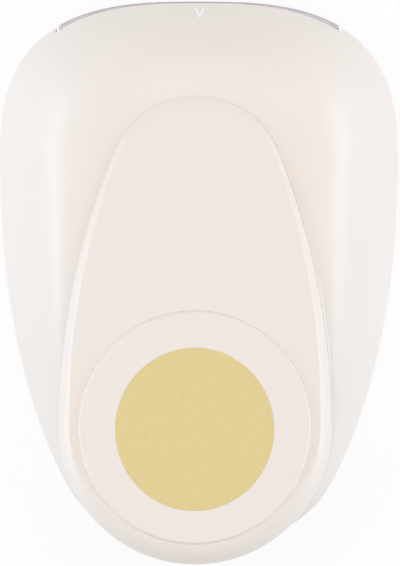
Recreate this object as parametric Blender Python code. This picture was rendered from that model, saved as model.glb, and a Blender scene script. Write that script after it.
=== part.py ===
"""Circle punch for paper, worked by a large hinged lever.

Metres. +Z is up, +Y points at the paper slot and +X is to the right of someone looking along +Y.
The origin is on the table, under the middle of the punch.
"""

import math

import bmesh
import bpy
from mathutils import Vector

# Whole punch
LENGTH = 0.1234
HEIGHT = 0.0522
PUNCH_RADIUS = 0.0251
SEAT_GAP = 0.0003
RUN_GAP = 0.0003
OVERRUN = 0.0010
CLOSE_POINTS = 0.00005

# Heights of the stack, from the table up
BASE_THICKNESS = 0.0024
DIE_THICKNESS = 0.0043
SLOT_HEIGHT = 0.0016
GUIDE_THICKNESS = 0.0042
STROKE = 0.0040
PUNCH_LIFT = 0.0004
CARRIER_LIFT = 0.0006
CARRIER_THICKNESS = 0.0022

# Places along the punch, and the pivot's height over the guide plate
FRONT_LAND = 0.0128
PIVOT_INSIDE_EDGE = 0.0008
PIVOT_OVER_GUIDE = 0.0054

# Cutting set
BORE_CLEARANCE = 0.0003
PUNCH_WALL = 0.0025
PUNCH_HEIGHT = 0.0054
PUNCH_WEB = 0.0020
HUB_RADIUS = 0.0120
PIN_RADIUS = 0.0017
PIN_STANDOFF = 0.0056
PIN_HALF_SPACING = 0.0085
PIN_TOP_LENGTH = 0.0012
SPRING_WIRE_RADIUS = 0.00040
SPRING_TURNS = 3.5
SPRING_PIN_CLEARANCE = 0.0006
SPRING_POCKET_CLEARANCE = 0.0005
POCKET_FLOOR = 0.0010
CASSETTE_WALL = 0.0010
CASSETTE_CORNER = 0.0060
CASSETTE_WALL_CLEARANCE = 0.0044
CASSETTE_FRONT_LAND = 0.0050
CASSETTE_REAR_LAND = 0.0041
SHIM_WIDTH = 0.0042
SHIM_REAR_DEPTH = 0.0030
CARRIER_EAR = 0.0030
CARRIER_CORNER = 0.0030

# Front edge of the die plate, which shows under the slot
LIP_BESIDE_PUNCH = 0.0057
LIP_PROUD_MIDDLE = 0.0006
LIP_PROUD_CORNER = 0.0009
MOUTH_CLEARANCE = 0.0005

# Housing
BODY_MARGIN = 0.0100
EGG_WAIST_AHEAD_OF_DIE = 0.0015
EGG_FRONT_POWER_SHARE = 2.86
EGG_POINT_CUT_OFF = 0.0075
EGG_REAR_POWER_SHARE = 2.04
EGG_TAIL_RADIUS = 0.0374
TAIL_SIDE_DEGREES = 30
TAIL_BLEND = 0.0015
LEVER_OVERHANG = 0.0012
HOUSING_WALL = 0.0020
HOUSING_FOOT_ROUND = 0.0004
HOUSING_LAND = 0.0014
LAND_OVER_SLOT = 0.0003
LAND_RISE_BEHIND_DIE = 0.0085
FLANK_FRONT_POWER_SHARE = 2.6
FLANK_REAR_POWER_SHARE = 1.5
FLANK_FRONT_AHEAD_OF_DIE = 0.0065
FLANK_REAR_BEHIND_DIE = 0.0535
EDGE_FRONT_OVER_PIVOT = 0.0120
EDGE_REAR_OVER_DECK = 0.0010
EDGE_ROUND = 0.0007
EDGE_FALL_START = 0.0337
EDGE_FALL_STOP = 0.0037
EDGE_FALL_POWER_SHARE = 1.25
BAY_GAP = 0.0006
BAY_RIM = 0.0022
BAY_WALL = 0.0016
BAY_STEP = 0.0003
DECK_OVER_DIE = 0.0010
DECK_THICKNESS = 0.0016
DECK_SETBACK = 0.0030
SLOT_FLANGE = 0.0020
SLOT_FLANGE_SIDE = 0.0017
BASE_INSET = 0.0006
BASE_HOLE_MARGIN = 0.0036

# Lever
LEVER_NOSE_RADIUS = 0.01905
LEVER_SIDE_RADIUS = 0.15706
LEVER_SETBACK = 0.0218
LEVER_NOSE_OVER_PIVOT = 0.0125
LEVER_RISE_POWER_SHARE = 1.8
LEVER_WALL = 0.0022
LEVER_ROOF = 0.0030
NOSE_FILLET = 0.0010
SIDE_FILLET = 0.0022
REAR_FILLET = 0.0050
SKIRT_FRONT_OVER_PIVOT = 0.0058
SKIRT_LOW_OVER_PIVOT = 0.0018
SKIRT_REAR_OVER_PIVOT = 0.0114
SKIRT_LOW_BEHIND_DIE = 0.0395
SKIRT_BLEND = 0.0140

# Pad on the lever
CAP_RADIUS = 0.02495
CAP_MARGIN = 0.00445
CAP_FORWARD = 0.0004
CAP_PROUD = 0.0006
CAP_THICKNESS = 0.0017
CAP_EDGE = 0.0005
CAP_SEAT_CLEARANCE = 0.0003
DISC_HALF_WIDTH = 0.0171
DISC_HALF_LENGTH = 0.01765
DISC_THICKNESS = 0.0004
DISC_BELOW_CAP = 0.0001

# Steel core of the lever, its hinge and its roller
CORE_HALF_WIDTH = 0.0107
CORE_PLATE = 0.0022
CORE_EYE_RADIUS = 0.0032
CORE_NECK_CLEARANCE = 0.0009
CORE_BELOW_ROOF = 0.0046
CORE_REAR_REACH = 0.0017
CORE_TAIL_DEPTH = 0.0060
LUG_THICKNESS = 0.0030
AXLE_RADIUS = 0.00175
AXLE_END = 0.0005
CLIP_THICKNESS = 0.0008
CLIP_RADIUS = 0.0029
ROLLER_RADIUS = 0.0036
ROLLER_PIN_RADIUS = 0.0016
ROLLER_EYE_RADIUS = 0.0029
CORE_RISE_SHARE = 0.22

# Where the eye's round edge leaves the cheek's lower edge, and how far it runs
EYE_LOW_DEGREES = -110
EYE_TURN_DEGREES = 200

# Screws
SCREW_SHANK_RADIUS = 0.0011
SCREW_HEAD_RADIUS = 0.0023
SCREW_HEAD_HEIGHT = 0.0012
SCREW_HEAD_RECESS = 0.0004
SCREW_SOCKET_RADIUS = 0.0010
SCREW_SOCKET_DEPTH = 0.0007
BASE_SCREW_BITE = 0.0036
CASSETTE_SCREW_BITE = 0.0022
CARRIER_SCREW_BITE = 0.0020
LEVER_SCREW_BITE = 0.0030
BOSS_WALL = 0.0012
BOSS_STEP = 0.0002
BOSS_SPREAD = 0.0155
REAR_BOSS_HALF_SPACING = 0.0180
REAR_BOSS_FROM_TAIL = 0.0185
CASSETTE_SCREW_SPREAD = 0.0205
CARRIER_SCREW_SPREAD = 0.0085
LEVER_BOSS_RADIUS = 0.0030
LEVER_SCREW_BEHIND_DIE = 0.0180
LEVER_SCREW_FROM_REAR = 0.0075
LEVER_SCREWS = 3

# How far a four-sided face may be bent before it is split, so that cuts through it stay exact
BENT_FACE_DEGREES = 0.05

# Fineness of the curved surfaces
RAYS = 72
RAYS_HALF_STEP_SHARE = 0.5
WALL_MIDDLE_SHARE = 0.5
ROUND_STEPS = 32
BORE_STEPS = 56
PIN_STEPS = 16
SCREW_STEPS = 10
FILLET_STEPS = 3
SPRING_STEPS = 12
WIRE_STEPS = 5
FLANK_SHARES = (0.0, 0.05, 0.12, 0.22, 0.36, 0.54, 0.76, 1.0)
INNER_FLANK_SHARES = (0.0, 0.12, 0.36, 1.0)
TOP_SHARES = (0.8, 0.55, 0.28)
ROOF_SHARES = (0.65, 0.3)
DISC_STEPS = 44
DISC_SHARES = (0.36, 0.7)
LIP_STEPS = 16
EYE_STEPS = 8
EDGE_PART_SHARE = 0.3
SOLVE_STEPS = 40

# Heights worked out from the stack
DIE_BOTTOM = BASE_THICKNESS + SEAT_GAP
DIE_TOP = DIE_BOTTOM + DIE_THICKNESS
GUIDE_BOTTOM = DIE_TOP + SLOT_HEIGHT
GUIDE_TOP = GUIDE_BOTTOM + GUIDE_THICKNESS
CARRIER_BOTTOM = GUIDE_TOP + STROKE + CARRIER_LIFT
CARRIER_TOP = CARRIER_BOTTOM + CARRIER_THICKNESS
PUNCH_BOTTOM = GUIDE_BOTTOM + PUNCH_LIFT
ROLLER_HEIGHT = CARRIER_TOP + SEAT_GAP + ROLLER_RADIUS
PIVOT_HEIGHT = GUIDE_TOP + PIVOT_OVER_GUIDE
HOUSING_FOOT = DIE_BOTTOM
LAND_LOW_HEIGHT = HOUSING_FOOT + HOUSING_LAND
LAND_FRONT_HEIGHT = GUIDE_BOTTOM + LAND_OVER_SLOT
DECK_HEIGHT = DIE_TOP + DECK_OVER_DIE
EDGE_FRONT_HEIGHT = PIVOT_HEIGHT + EDGE_FRONT_OVER_PIVOT
EDGE_REAR_HEIGHT = DECK_HEIGHT + EDGE_REAR_OVER_DECK
LEVER_NOSE_HEIGHT = PIVOT_HEIGHT + LEVER_NOSE_OVER_PIVOT
LEVER_RISE = HEIGHT - CAP_PROUD - LEVER_NOSE_HEIGHT
SKIRT_FRONT_HEIGHT = PIVOT_HEIGHT + SKIRT_FRONT_OVER_PIVOT
SKIRT_LOW_HEIGHT = PIVOT_HEIGHT + SKIRT_LOW_OVER_PIVOT
SKIRT_REAR_HEIGHT = PIVOT_HEIGHT + SKIRT_REAR_OVER_PIVOT
CORE_NECK_HEIGHT = SKIRT_FRONT_HEIGHT - CORE_NECK_CLEARANCE

# Places worked out from the length and the cutting set
BORE_RADIUS = PUNCH_RADIUS + BORE_CLEARANCE
FRONT_Y = LENGTH / 2
REAR_Y = -LENGTH / 2
DIE_Y = FRONT_Y - FRONT_LAND - BORE_RADIUS
PIVOT_Y = DIE_Y + PUNCH_RADIUS - PIVOT_INSIDE_EDGE
RIM_FRONT_Y = FRONT_Y - LIP_PROUD_MIDDLE
RIM_REAR_Y = REAR_Y + LEVER_OVERHANG
EGG_WAIST_Y = DIE_Y + EGG_WAIST_AHEAD_OF_DIE
EGG_FRONT_REACH = RIM_FRONT_Y - EGG_WAIST_Y
EGG_REAR_REACH = EGG_WAIST_Y - RIM_REAR_Y + EGG_POINT_CUT_OFF
EGG_TAIL_Y = RIM_REAR_Y + EGG_TAIL_RADIUS
EDGE_FALL_Y = FRONT_Y - EDGE_FALL_START
EDGE_FALL_LENGTH = EDGE_FALL_Y - REAR_Y - EDGE_FALL_STOP
LAND_RISE_Y = DIE_Y - LAND_RISE_BEHIND_DIE
FLANK_FRONT_Y = DIE_Y + FLANK_FRONT_AHEAD_OF_DIE
FLANK_REAR_Y = DIE_Y - FLANK_REAR_BEHIND_DIE
LEVER_END_RADIUS = CAP_RADIUS + CAP_MARGIN
LEVER_END_Y = REAR_Y + LEVER_END_RADIUS
LEVER_NOSE_Y = FRONT_Y - LEVER_SETBACK
LEVER_LENGTH = LEVER_NOSE_Y - REAR_Y
CAP_Y = LEVER_END_Y + CAP_FORWARD
SKIRT_LOW_Y = DIE_Y - SKIRT_LOW_BEHIND_DIE
RAY_CENTRE_Y = (DIE_Y + CAP_Y) / 2
CORE_REAR_Y = LEVER_END_Y - CORE_REAR_REACH
CORE_WEB_FRONT_Y = DIE_Y - LEVER_SCREW_BEHIND_DIE + LEVER_BOSS_RADIUS

# Widths worked out from the cutting set
SPRING_RADIUS = PIN_RADIUS + SPRING_PIN_CLEARANCE + SPRING_WIRE_RADIUS
POCKET_RADIUS = SPRING_RADIUS + SPRING_WIRE_RADIUS + SPRING_POCKET_CLEARANCE
PIN_X = BORE_RADIUS + PIN_STANDOFF
BODY_HALF_WIDTH = PIN_X + CARRIER_EAR + BODY_MARGIN
LIP_HALF_WIDTH = PUNCH_RADIUS + LIP_BESIDE_PUNCH
CASSETTE_INSET = HOUSING_WALL + CASSETTE_WALL_CLEARANCE
CASSETTE_HALF_WIDTH = PIN_X + POCKET_RADIUS + CASSETTE_WALL
CASSETTE_FRONT_Y = DIE_Y + BORE_RADIUS + CASSETTE_FRONT_LAND
CASSETTE_REAR_Y = DIE_Y - BORE_RADIUS - CASSETTE_REAR_LAND
CASSETTE_SCREW_X = CASSETTE_HALF_WIDTH - SHIM_WIDTH / 2
SCREW_HOLE_RADIUS = SCREW_SHANK_RADIUS + RUN_GAP
BOSS_RADIUS = SCREW_HOLE_RADIUS + BOSS_WALL
BOSS_X = CASSETTE_HALF_WIDTH + SEAT_GAP + BOSS_RADIUS
DECK_FRONT_Y = CASSETTE_REAR_Y - DECK_SETBACK
MOUTH_HALF_WIDTH = LIP_HALF_WIDTH + MOUTH_CLEARANCE
LUG_INNER_X = CORE_HALF_WIDTH + RUN_GAP
LUG_OUTER_X = LUG_INNER_X + LUG_THICKNESS
CLIP_INNER_X = LUG_OUTER_X + SEAT_GAP
AXLE_HALF_LENGTH = CLIP_INNER_X + CLIP_THICKNESS + AXLE_END


# Shapes in plan

def tail_limit(y, inset):
    """Half width of the round tail at y, whose sides run on straight towards the front."""
    radius = EGG_TAIL_RADIUS - inset
    lean = math.radians(TAIL_SIDE_DEGREES)
    joint_y = EGG_TAIL_Y - radius * math.sin(lean)
    if y < joint_y:
        return math.sqrt(max(radius ** 2 - (y - EGG_TAIL_Y) ** 2, 0.0))
    return radius * math.cos(lean) + (y - joint_y) * math.tan(lean)


def egg_half_width(y, inset=0.0):
    """Half width of the housing at y, for its outline moved in by inset."""
    half = BODY_HALF_WIDTH - inset
    if y >= EGG_WAIST_Y:
        share = (y - EGG_WAIST_Y) / (EGG_FRONT_REACH - inset)
        power = EGG_FRONT_POWER_SHARE
    else:
        share = (EGG_WAIST_Y - y) / (EGG_REAR_REACH - inset)
        power = EGG_REAR_POWER_SHARE
    if share >= 1.0:
        return 0.0
    width = half * (1.0 - share ** power) ** (1.0 / power)
    tail = tail_limit(y, inset)
    blend = max(TAIL_BLEND - abs(width - tail), 0.0) ** 2 / (4 * TAIL_BLEND)
    return max(min(width, tail) - blend, 0.0)


def lever_side_centre():
    """Centre of the long side arc, which touches the nose arc and the end arc."""
    nose_y = LEVER_NOSE_Y - LEVER_NOSE_RADIUS
    to_nose = LEVER_SIDE_RADIUS - LEVER_NOSE_RADIUS
    to_end = LEVER_SIDE_RADIUS - LEVER_END_RADIUS
    gap = nose_y - LEVER_END_Y
    centre_y = (to_end ** 2 - to_nose ** 2 + nose_y ** 2 - LEVER_END_Y ** 2) / (2 * gap)
    centre_x = math.sqrt(to_nose ** 2 - (nose_y - centre_y) ** 2)
    return centre_x, centre_y


def lever_half_width(y, grow=0.0):
    """Half width of the lever's teardrop at y, for its outline moved out by grow."""
    nose_y = LEVER_NOSE_Y - LEVER_NOSE_RADIUS
    side_x, side_y = lever_side_centre()
    to_nose = LEVER_SIDE_RADIUS - LEVER_NOSE_RADIUS
    to_end = LEVER_SIDE_RADIUS - LEVER_END_RADIUS
    nose_joint = nose_y + (nose_y - side_y) / to_nose * (LEVER_NOSE_RADIUS + grow)
    end_joint = LEVER_END_Y + (LEVER_END_Y - side_y) / to_end * (LEVER_END_RADIUS + grow)
    if y > nose_joint:
        left = (LEVER_NOSE_RADIUS + grow) ** 2 - (y - nose_y) ** 2
        return math.sqrt(max(left, 0.0))
    if y < end_joint:
        left = (LEVER_END_RADIUS + grow) ** 2 - (y - LEVER_END_Y) ** 2
        return math.sqrt(max(left, 0.0))
    return math.sqrt((LEVER_SIDE_RADIUS + grow) ** 2 - (y - side_y) ** 2) - side_x


def rounded_half_width(y, half, low_y, high_y, corner):
    """Half width at y of a rectangle with round corners."""
    to_end = min(y - low_y, high_y - y)
    if to_end >= corner:
        return half
    return half - corner + math.sqrt(max(corner ** 2 - (corner - to_end) ** 2, 0.0))


def cassette_half_width(y):
    """Half width of the die plate, shims and guide plate, which fit inside the housing."""
    plate = rounded_half_width(y, CASSETTE_HALF_WIDTH, CASSETTE_REAR_Y, FRONT_Y, CASSETTE_CORNER)
    return min(plate, egg_half_width(y, CASSETTE_INSET))


def die_half_width(y):
    """Half width of the die plate, which stays as wide as its lip right to the front."""
    if y < DIE_Y:
        return cassette_half_width(y)
    return max(cassette_half_width(y), LIP_HALF_WIDTH)


def outline_from_widths(half_width, low_y, high_y, steps=28):
    """Closed outline, anticlockwise, of a shape given by its half width at each y."""
    right = []
    for step in range(steps + 1):
        share = (1.0 - math.cos(math.pi * step / steps)) / 2
        y = low_y + (high_y - low_y) * share
        width = half_width(y)
        right.append((width if width > CLOSE_POINTS else 0.0, y))
    left = [(-x, y) for x, y in reversed(right) if x > 0.0]
    return right + left


def circle_outline(radius, x=0.0, y=0.0, steps=ROUND_STEPS, long_radius=None):
    """Closed circle, or an ellipse where long_radius is its half length along Y."""
    points = []
    for step in range(steps):
        angle = math.tau * step / steps
        points.append((x + radius * math.cos(angle), y + (long_radius or radius) * math.sin(angle)))
    return points


def ray_direction(index):
    """Unit direction in plan of one of the rays that share out a ring's points."""
    angle = math.tau * index / RAYS
    return -math.sin(angle), math.cos(angle)


def reach(index, half_width):
    """How far along a ray from the ray centre a shape's outline lies."""
    across, along = ray_direction(index)
    near = 0.0
    far = LENGTH
    for _ in range(SOLVE_STEPS):
        middle = (near + far) / 2
        if abs(across * middle) < half_width(RAY_CENTRE_Y + along * middle):
            near = middle
        else:
            far = middle
    return near


def on_ray(index, distance, z):
    """Point in space on a ray."""
    across, along = ray_direction(index)
    return across * distance, RAY_CENTRE_Y + along * distance, z


def ease(share):
    """Smooth step from 0 to 1."""
    clamped = min(max(share, 0.0), 1.0)
    return (1.0 - math.cos(math.pi * clamped)) / 2


# Meshes

def new_object(name, mesh_builder, material):
    """Object from a bmesh, with its faces pointing out and round faces smooth."""
    bmesh.ops.recalc_face_normals(mesh_builder, faces=mesh_builder.faces)
    mesh = bpy.data.meshes.new(name)
    mesh_builder.to_mesh(mesh)
    mesh_builder.free()
    mesh.materials.append(material)
    mesh.shade_smooth()
    mesh.set_sharp_from_angle(angle=math.radians(30))
    made = bpy.data.objects.new(name, mesh)
    bpy.context.scene.collection.objects.link(made)
    return made


def loft(name, rings, material, closed=False):
    """Solid through rings of points: capped at both ends, or closed on itself."""
    builder = bmesh.new()
    rows = [[builder.verts.new(point) for point in ring] for ring in rings]
    pairs = list(zip(rows, rows[1:]))
    if closed:
        pairs.append((rows[-1], rows[0]))
    else:
        builder.faces.new(rows[0])
        builder.faces.new(rows[-1])
    sides = []
    for low, high in pairs:
        for index in range(len(low)):
            after = (index + 1) % len(low)
            sides.append(builder.faces.new((low[index], low[after], high[after], high[index])))
    limit = math.radians(BENT_FACE_DEGREES)
    bmesh.ops.connect_verts_nonplanar(builder, angle_limit=limit, faces=sides)
    return new_object(name, builder, material)


def prism(name, outline, low_z, high_z, material):
    """Upright solid with one outline from bottom to top."""
    rings = [[(x, y, z) for x, y in outline] for z in (low_z, high_z)]
    return loft(name, rings, material)


def slab_across(name, outline, low_x, high_x, material):
    """Solid with an outline in Y and Z, extruded along X."""
    rings = [[(x, y, z) for y, z in outline] for x in (low_x, high_x)]
    return loft(name, rings, material)


def turned(name, profile, place, material, axis="Z", steps=ROUND_STEPS):
    """Solid of revolution from a closed profile of (radius, height) points off the axis."""
    rings = []
    for radius, height in profile:
        ring = []
        for x, y in circle_outline(radius, steps=steps):
            point = (x, y, height) if axis == "Z" else (height, x, y)
            ring.append(Vector(point) + Vector(place))
        rings.append(ring)
    hollow = profile[0][0] > 0.0 and profile[-1] == profile[0]
    if hollow:
        return loft(name, rings[:-1], material, closed=True)
    return loft(name, rings, material)


def cylinder(name, radius, low, high, place, material, axis="Z", steps=PIN_STEPS):
    """Plain round bar between two heights along its axis."""
    return turned(name, [(radius, low), (radius, high)], place, material, axis, steps)


def tube(name, outer, inner, low, high, place, material, axis="Z", steps=PIN_STEPS):
    """Round bar with a bore."""
    profile = [(inner, low), (outer, low), (outer, high), (inner, high), (inner, low)]
    return turned(name, profile, place, material, axis, steps)


def combine(body, others, operation):
    """Cut, join or trim a body with other shapes, and keep the result."""
    for other in others:
        modifier = body.modifiers.new(operation.lower(), "BOOLEAN")
        modifier.operation = operation
        modifier.solver = "EXACT"
        modifier.object = other
    graph = bpy.context.evaluated_depsgraph_get()
    graph.update()
    result = bpy.data.meshes.new_from_object(body.evaluated_get(graph))
    body.modifiers.clear()
    body.data = result
    result.shade_smooth()
    result.set_sharp_from_angle(angle=math.radians(30))
    for other in others:
        bpy.data.objects.remove(other)
    return body


def cut(body, *cutters):
    """Take cutters away from a body."""
    return combine(body, cutters, "DIFFERENCE")


def join(body, *others):
    """Make one solid of a body and others that run into it."""
    return combine(body, others, "UNION")


def trim(body, *limits):
    """Keep only what lies inside every limit."""
    return combine(body, limits, "INTERSECT")


def block(name, low, high, material):
    """Upright box between two corners."""
    outline = [(low[0], low[1]), (high[0], low[1]), (high[0], high[1]), (low[0], high[1])]
    return prism(name, outline, low[2], high[2], material)


# Materials

def make_material(name, colour, roughness, metallic=0.0):
    """Principled material with one colour."""
    material = bpy.data.materials.new(name)
    material.use_nodes = True
    shader = material.node_tree.nodes["Principled BSDF"]
    shader.inputs["Base Color"].default_value = (*colour, 1.0)
    shader.inputs["Roughness"].default_value = roughness
    shader.inputs["Metallic"].default_value = metallic
    material.diffuse_color = (*colour, 1.0)
    return material


def make_materials():
    """Finishes of the punch, by name."""
    return {
        "shell": make_material("ivory_shell", (0.86, 0.81, 0.75), 0.38),
        "base": make_material("ivory_base", (0.82, 0.78, 0.73), 0.5),
        "gold": make_material("gold_disc", (0.75, 0.60, 0.27), 0.4, 0.3),
        "zinc": make_material("cast_zinc", (0.52, 0.50, 0.51), 0.42, 0.9),
        "steel": make_material("bright_steel", (0.62, 0.62, 0.63), 0.3, 1.0),
        "sheet": make_material("plated_sheet", (0.58, 0.59, 0.61), 0.38, 1.0),
        "spring": make_material("spring_wire", (0.40, 0.41, 0.43), 0.35, 1.0),
    }


# Screws

def screw(name, place, bite, material, pointing=1.0):
    """Pan head screw whose head seats at place and whose shank runs bite along Z."""
    head = SCREW_HEAD_HEIGHT * -pointing
    socket = head + SCREW_SOCKET_DEPTH * pointing
    profile = [
        (SCREW_SOCKET_RADIUS, socket),
        (SCREW_SOCKET_RADIUS, head),
        (SCREW_HEAD_RADIUS - SCREW_SOCKET_DEPTH, head),
        (SCREW_HEAD_RADIUS, head / 2),
        (SCREW_HEAD_RADIUS, 0.0),
        (SCREW_SHANK_RADIUS, 0.0),
        (SCREW_SHANK_RADIUS, bite * pointing),
    ]
    return turned(name, profile, place, material, steps=SCREW_STEPS)


def screw_hole(place, low, high, material):
    """Cutter for a screw's shank."""
    foot = (place[0], place[1], 0.0)
    return cylinder("screw_hole", SCREW_HOLE_RADIUS, low, high, foot, material, steps=SCREW_STEPS)


def recessed_hole(place, low, seat, high, material):
    """Cutter for a screw's head, up to its seat, and for the shank above it."""
    head = SCREW_HEAD_RADIUS + RUN_GAP
    profile = [(head, low), (head, seat), (SCREW_HOLE_RADIUS, seat), (SCREW_HOLE_RADIUS, high)]
    foot = (place[0], place[1], 0.0)
    return turned("recessed_hole", profile, foot, material, steps=SCREW_STEPS)


def side_boss_places():
    """Where four of the housing's posts stand, beside the cutting set."""
    places = []
    for side in (-1.0, 1.0):
        for along in (-1.0, 1.0):
            places.append((side * BOSS_X, DIE_Y + along * BOSS_SPREAD))
    return places


def rear_boss_places():
    """Where the other two posts stand, under the floor of the lever's bay."""
    return [(side * REAR_BOSS_HALF_SPACING, RIM_REAR_Y + REAR_BOSS_FROM_TAIL) for side in (-1.0, 1.0)]


def base_screw_places():
    """Where the six screws hold the base cover to the housing's posts."""
    return side_boss_places() + rear_boss_places()


def cassette_screw_places():
    """Where the four screws hold the die plate, shims and guide plate together."""
    places = []
    for side in (-1.0, 1.0):
        for along in (-1.0, 1.0):
            places.append((side * CASSETTE_SCREW_X, DIE_Y + along * CASSETTE_SCREW_SPREAD))
    return places


def pin_places():
    """Where the four guide pins stand."""
    places = []
    for side in (-1.0, 1.0):
        for along in (-1.0, 1.0):
            places.append((side * PIN_X, DIE_Y + along * PIN_HALF_SPACING))
    return places


# Base and cutting set

def make_base_cover(looks):
    """Flat floor plate, with a large hole under the die and six recessed screw holes."""
    low_y = RIM_REAR_Y + BASE_INSET
    high_y = RIM_FRONT_Y - BASE_INSET
    outline = outline_from_widths(lambda y: egg_half_width(y, BASE_INSET), low_y, high_y, 36)
    base = prism("base_cover", outline, 0.0, BASE_THICKNESS, looks["base"])
    low = -OVERRUN
    high = BASE_THICKNESS + OVERRUN
    hole = BORE_RADIUS + BASE_HOLE_MARGIN
    centre = (0.0, DIE_Y, 0.0)
    cutters = [cylinder("die_hole", hole, low, high, centre, looks["base"], steps=BORE_STEPS)]
    for place in base_screw_places():
        seat = SCREW_HEAD_HEIGHT + SCREW_HEAD_RECESS
        cutters.append(recessed_hole(place, low, seat, high, looks["base"]))
    return cut(base, *cutters)


def make_base_screws(looks):
    """Six screws up through the base cover."""
    seat = SCREW_HEAD_HEIGHT + SCREW_HEAD_RECESS - SEAT_GAP
    for number, (x, y) in enumerate(base_screw_places(), 1):
        bite = BASE_THICKNESS - seat + BASE_SCREW_BITE
        screw(f"base_screw_{number}", (x, y, seat), bite, looks["steel"])


def lip_front_y(x):
    """Front edge of the die plate at x, just proud of the housing's rim."""
    share = abs(x) / BODY_HALF_WIDTH
    power = EGG_FRONT_POWER_SHARE
    rim = EGG_WAIST_Y + EGG_FRONT_REACH * (1.0 - share ** power) ** (1.0 / power)
    lip_share = abs(x) / LIP_HALF_WIDTH
    return rim + LIP_PROUD_MIDDLE + (LIP_PROUD_CORNER - LIP_PROUD_MIDDLE) * lip_share ** 2


def make_die_plate(looks):
    """Cast die with the round cutting hole and the lip that guides the paper in."""
    body = outline_from_widths(die_half_width, CASSETTE_REAR_Y, CASSETTE_FRONT_Y)
    half = len(body) // 2
    lip = []
    for step in range(LIP_STEPS + 1):
        x = LIP_HALF_WIDTH * (1.0 - 2 * step / LIP_STEPS)
        lip.append((x, lip_front_y(x)))
    outline = body[:half] + lip + body[half:]
    die = prism("die_plate", outline, DIE_BOTTOM, DIE_TOP, looks["zinc"])
    low = DIE_BOTTOM - OVERRUN
    high = DIE_TOP + OVERRUN
    centre = (0.0, DIE_Y, 0.0)
    cutters = [cylinder("die_hole", BORE_RADIUS, low, high, centre, looks["zinc"], steps=BORE_STEPS)]
    for place in cassette_screw_places():
        seat = DIE_BOTTOM + SCREW_HEAD_HEIGHT + SEAT_GAP
        cutters.append(recessed_hole(place, low, seat, high, looks["zinc"]))
    return cut(die, *cutters)


def make_slot_shims(looks):
    """Three thin spacers that hold the paper slot open at its sides and back."""
    low = DIE_TOP + SEAT_GAP
    high = GUIDE_BOTTOM - SEAT_GAP
    inner = CASSETTE_HALF_WIDTH - SHIM_WIDTH
    rear_y = CASSETTE_REAR_Y + SHIM_REAR_DEPTH
    for side, name in ((-1.0, "slot_shim_left"), (1.0, "slot_shim_right")):
        widths = outline_from_widths(cassette_half_width, rear_y, CASSETTE_FRONT_Y)
        outer = [point for point in widths if point[0] > inner]
        outline = [(side * x, y) for x, y in outer]
        outline.append((side * inner, outer[-1][1]))
        outline.append((side * inner, outer[0][1]))
        shim = prism(name, outline, low, high, looks["sheet"])
        holes = []
        for place in cassette_screw_places():
            if place[0] * side > 0.0:
                holes.append(screw_hole(place, low - OVERRUN, high + OVERRUN, looks["sheet"]))
        cut(shim, *holes)
    outline = outline_from_widths(cassette_half_width, CASSETTE_REAR_Y, rear_y - SEAT_GAP, 8)
    prism("slot_shim_rear", outline, low, high, looks["sheet"])


def lug_outline(radius, low_z):
    """Side view of a hinge lug: upright sides and a round top about the pivot."""
    outline = [(PIVOT_Y - radius, low_z), (PIVOT_Y + radius, low_z)]
    for step in range(EYE_STEPS + 1):
        angle = math.pi * step / EYE_STEPS
        outline.append((PIVOT_Y + radius * math.cos(angle), PIVOT_HEIGHT + radius * math.sin(angle)))
    return outline


def make_guide_plate(looks):
    """Plate that guides the punch, with pockets for the springs and two hinge lugs."""
    zinc = looks["zinc"]
    outline = outline_from_widths(cassette_half_width, CASSETTE_REAR_Y, CASSETTE_FRONT_Y)
    guide = prism("guide_plate", outline, GUIDE_BOTTOM, GUIDE_TOP, zinc)
    sunk = GUIDE_TOP - OVERRUN
    lugs = []
    for side in (-1.0, 1.0):
        inner = side * LUG_INNER_X
        outer = side * LUG_OUTER_X
        outline = lug_outline(CORE_EYE_RADIUS, sunk)
        lugs.append(slab_across("lug", outline, min(inner, outer), max(inner, outer), zinc))
    join(guide, *lugs)
    low = GUIDE_BOTTOM - OVERRUN
    bore_top = PUNCH_BOTTOM + PUNCH_HEIGHT + OVERRUN
    cutters = [cylinder("bore", BORE_RADIUS, low, bore_top, (0.0, DIE_Y, 0.0), zinc, steps=BORE_STEPS)]
    length = LUG_OUTER_X + OVERRUN
    pivot = (0.0, PIVOT_Y, PIVOT_HEIGHT)
    cutters.append(cylinder("pivot_hole", AXLE_RADIUS + RUN_GAP, -length, length, pivot, zinc, "X"))
    for x, y in pin_places():
        floor = GUIDE_BOTTOM + POCKET_FLOOR
        cutters.append(cylinder("pocket", POCKET_RADIUS, floor, GUIDE_TOP + OVERRUN, (x, y, 0.0), zinc))
        hole = PIN_RADIUS + SEAT_GAP
        cutters.append(cylinder("pin_hole", hole, low, GUIDE_TOP, (x, y, 0.0), zinc))
    for place in cassette_screw_places():
        top = GUIDE_BOTTOM + CASSETTE_SCREW_BITE + SEAT_GAP
        cutters.append(screw_hole(place, low, top, zinc))
    return cut(guide, *cutters)


def make_cassette_screws(looks):
    """Four screws up through the die plate and shims into the guide plate."""
    seat = DIE_BOTTOM + SCREW_HEAD_HEIGHT
    bite = GUIDE_BOTTOM + CASSETTE_SCREW_BITE - seat
    for number, (x, y) in enumerate(cassette_screw_places(), 1):
        screw(f"cassette_screw_{number}", (x, y, seat), bite, looks["steel"])


def make_guide_pins(looks):
    """Four upright pins that the carrier slides on."""
    for number, (x, y) in enumerate(pin_places(), 1):
        top = CARRIER_TOP + PIN_TOP_LENGTH
        cylinder(f"guide_pin_{number}", PIN_RADIUS, GUIDE_BOTTOM, top, (x, y, 0.0), looks["steel"])


def spring_points(x, y, low, high):
    """Centre line of one coil spring."""
    count = int(SPRING_TURNS * SPRING_STEPS)
    points = []
    for step in range(count + 1):
        angle = math.tau * step / SPRING_STEPS
        across = SPRING_RADIUS * math.cos(angle)
        along = SPRING_RADIUS * math.sin(angle)
        points.append(Vector((x + across, y + along, low + (high - low) * step / count)))
    return points


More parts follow.
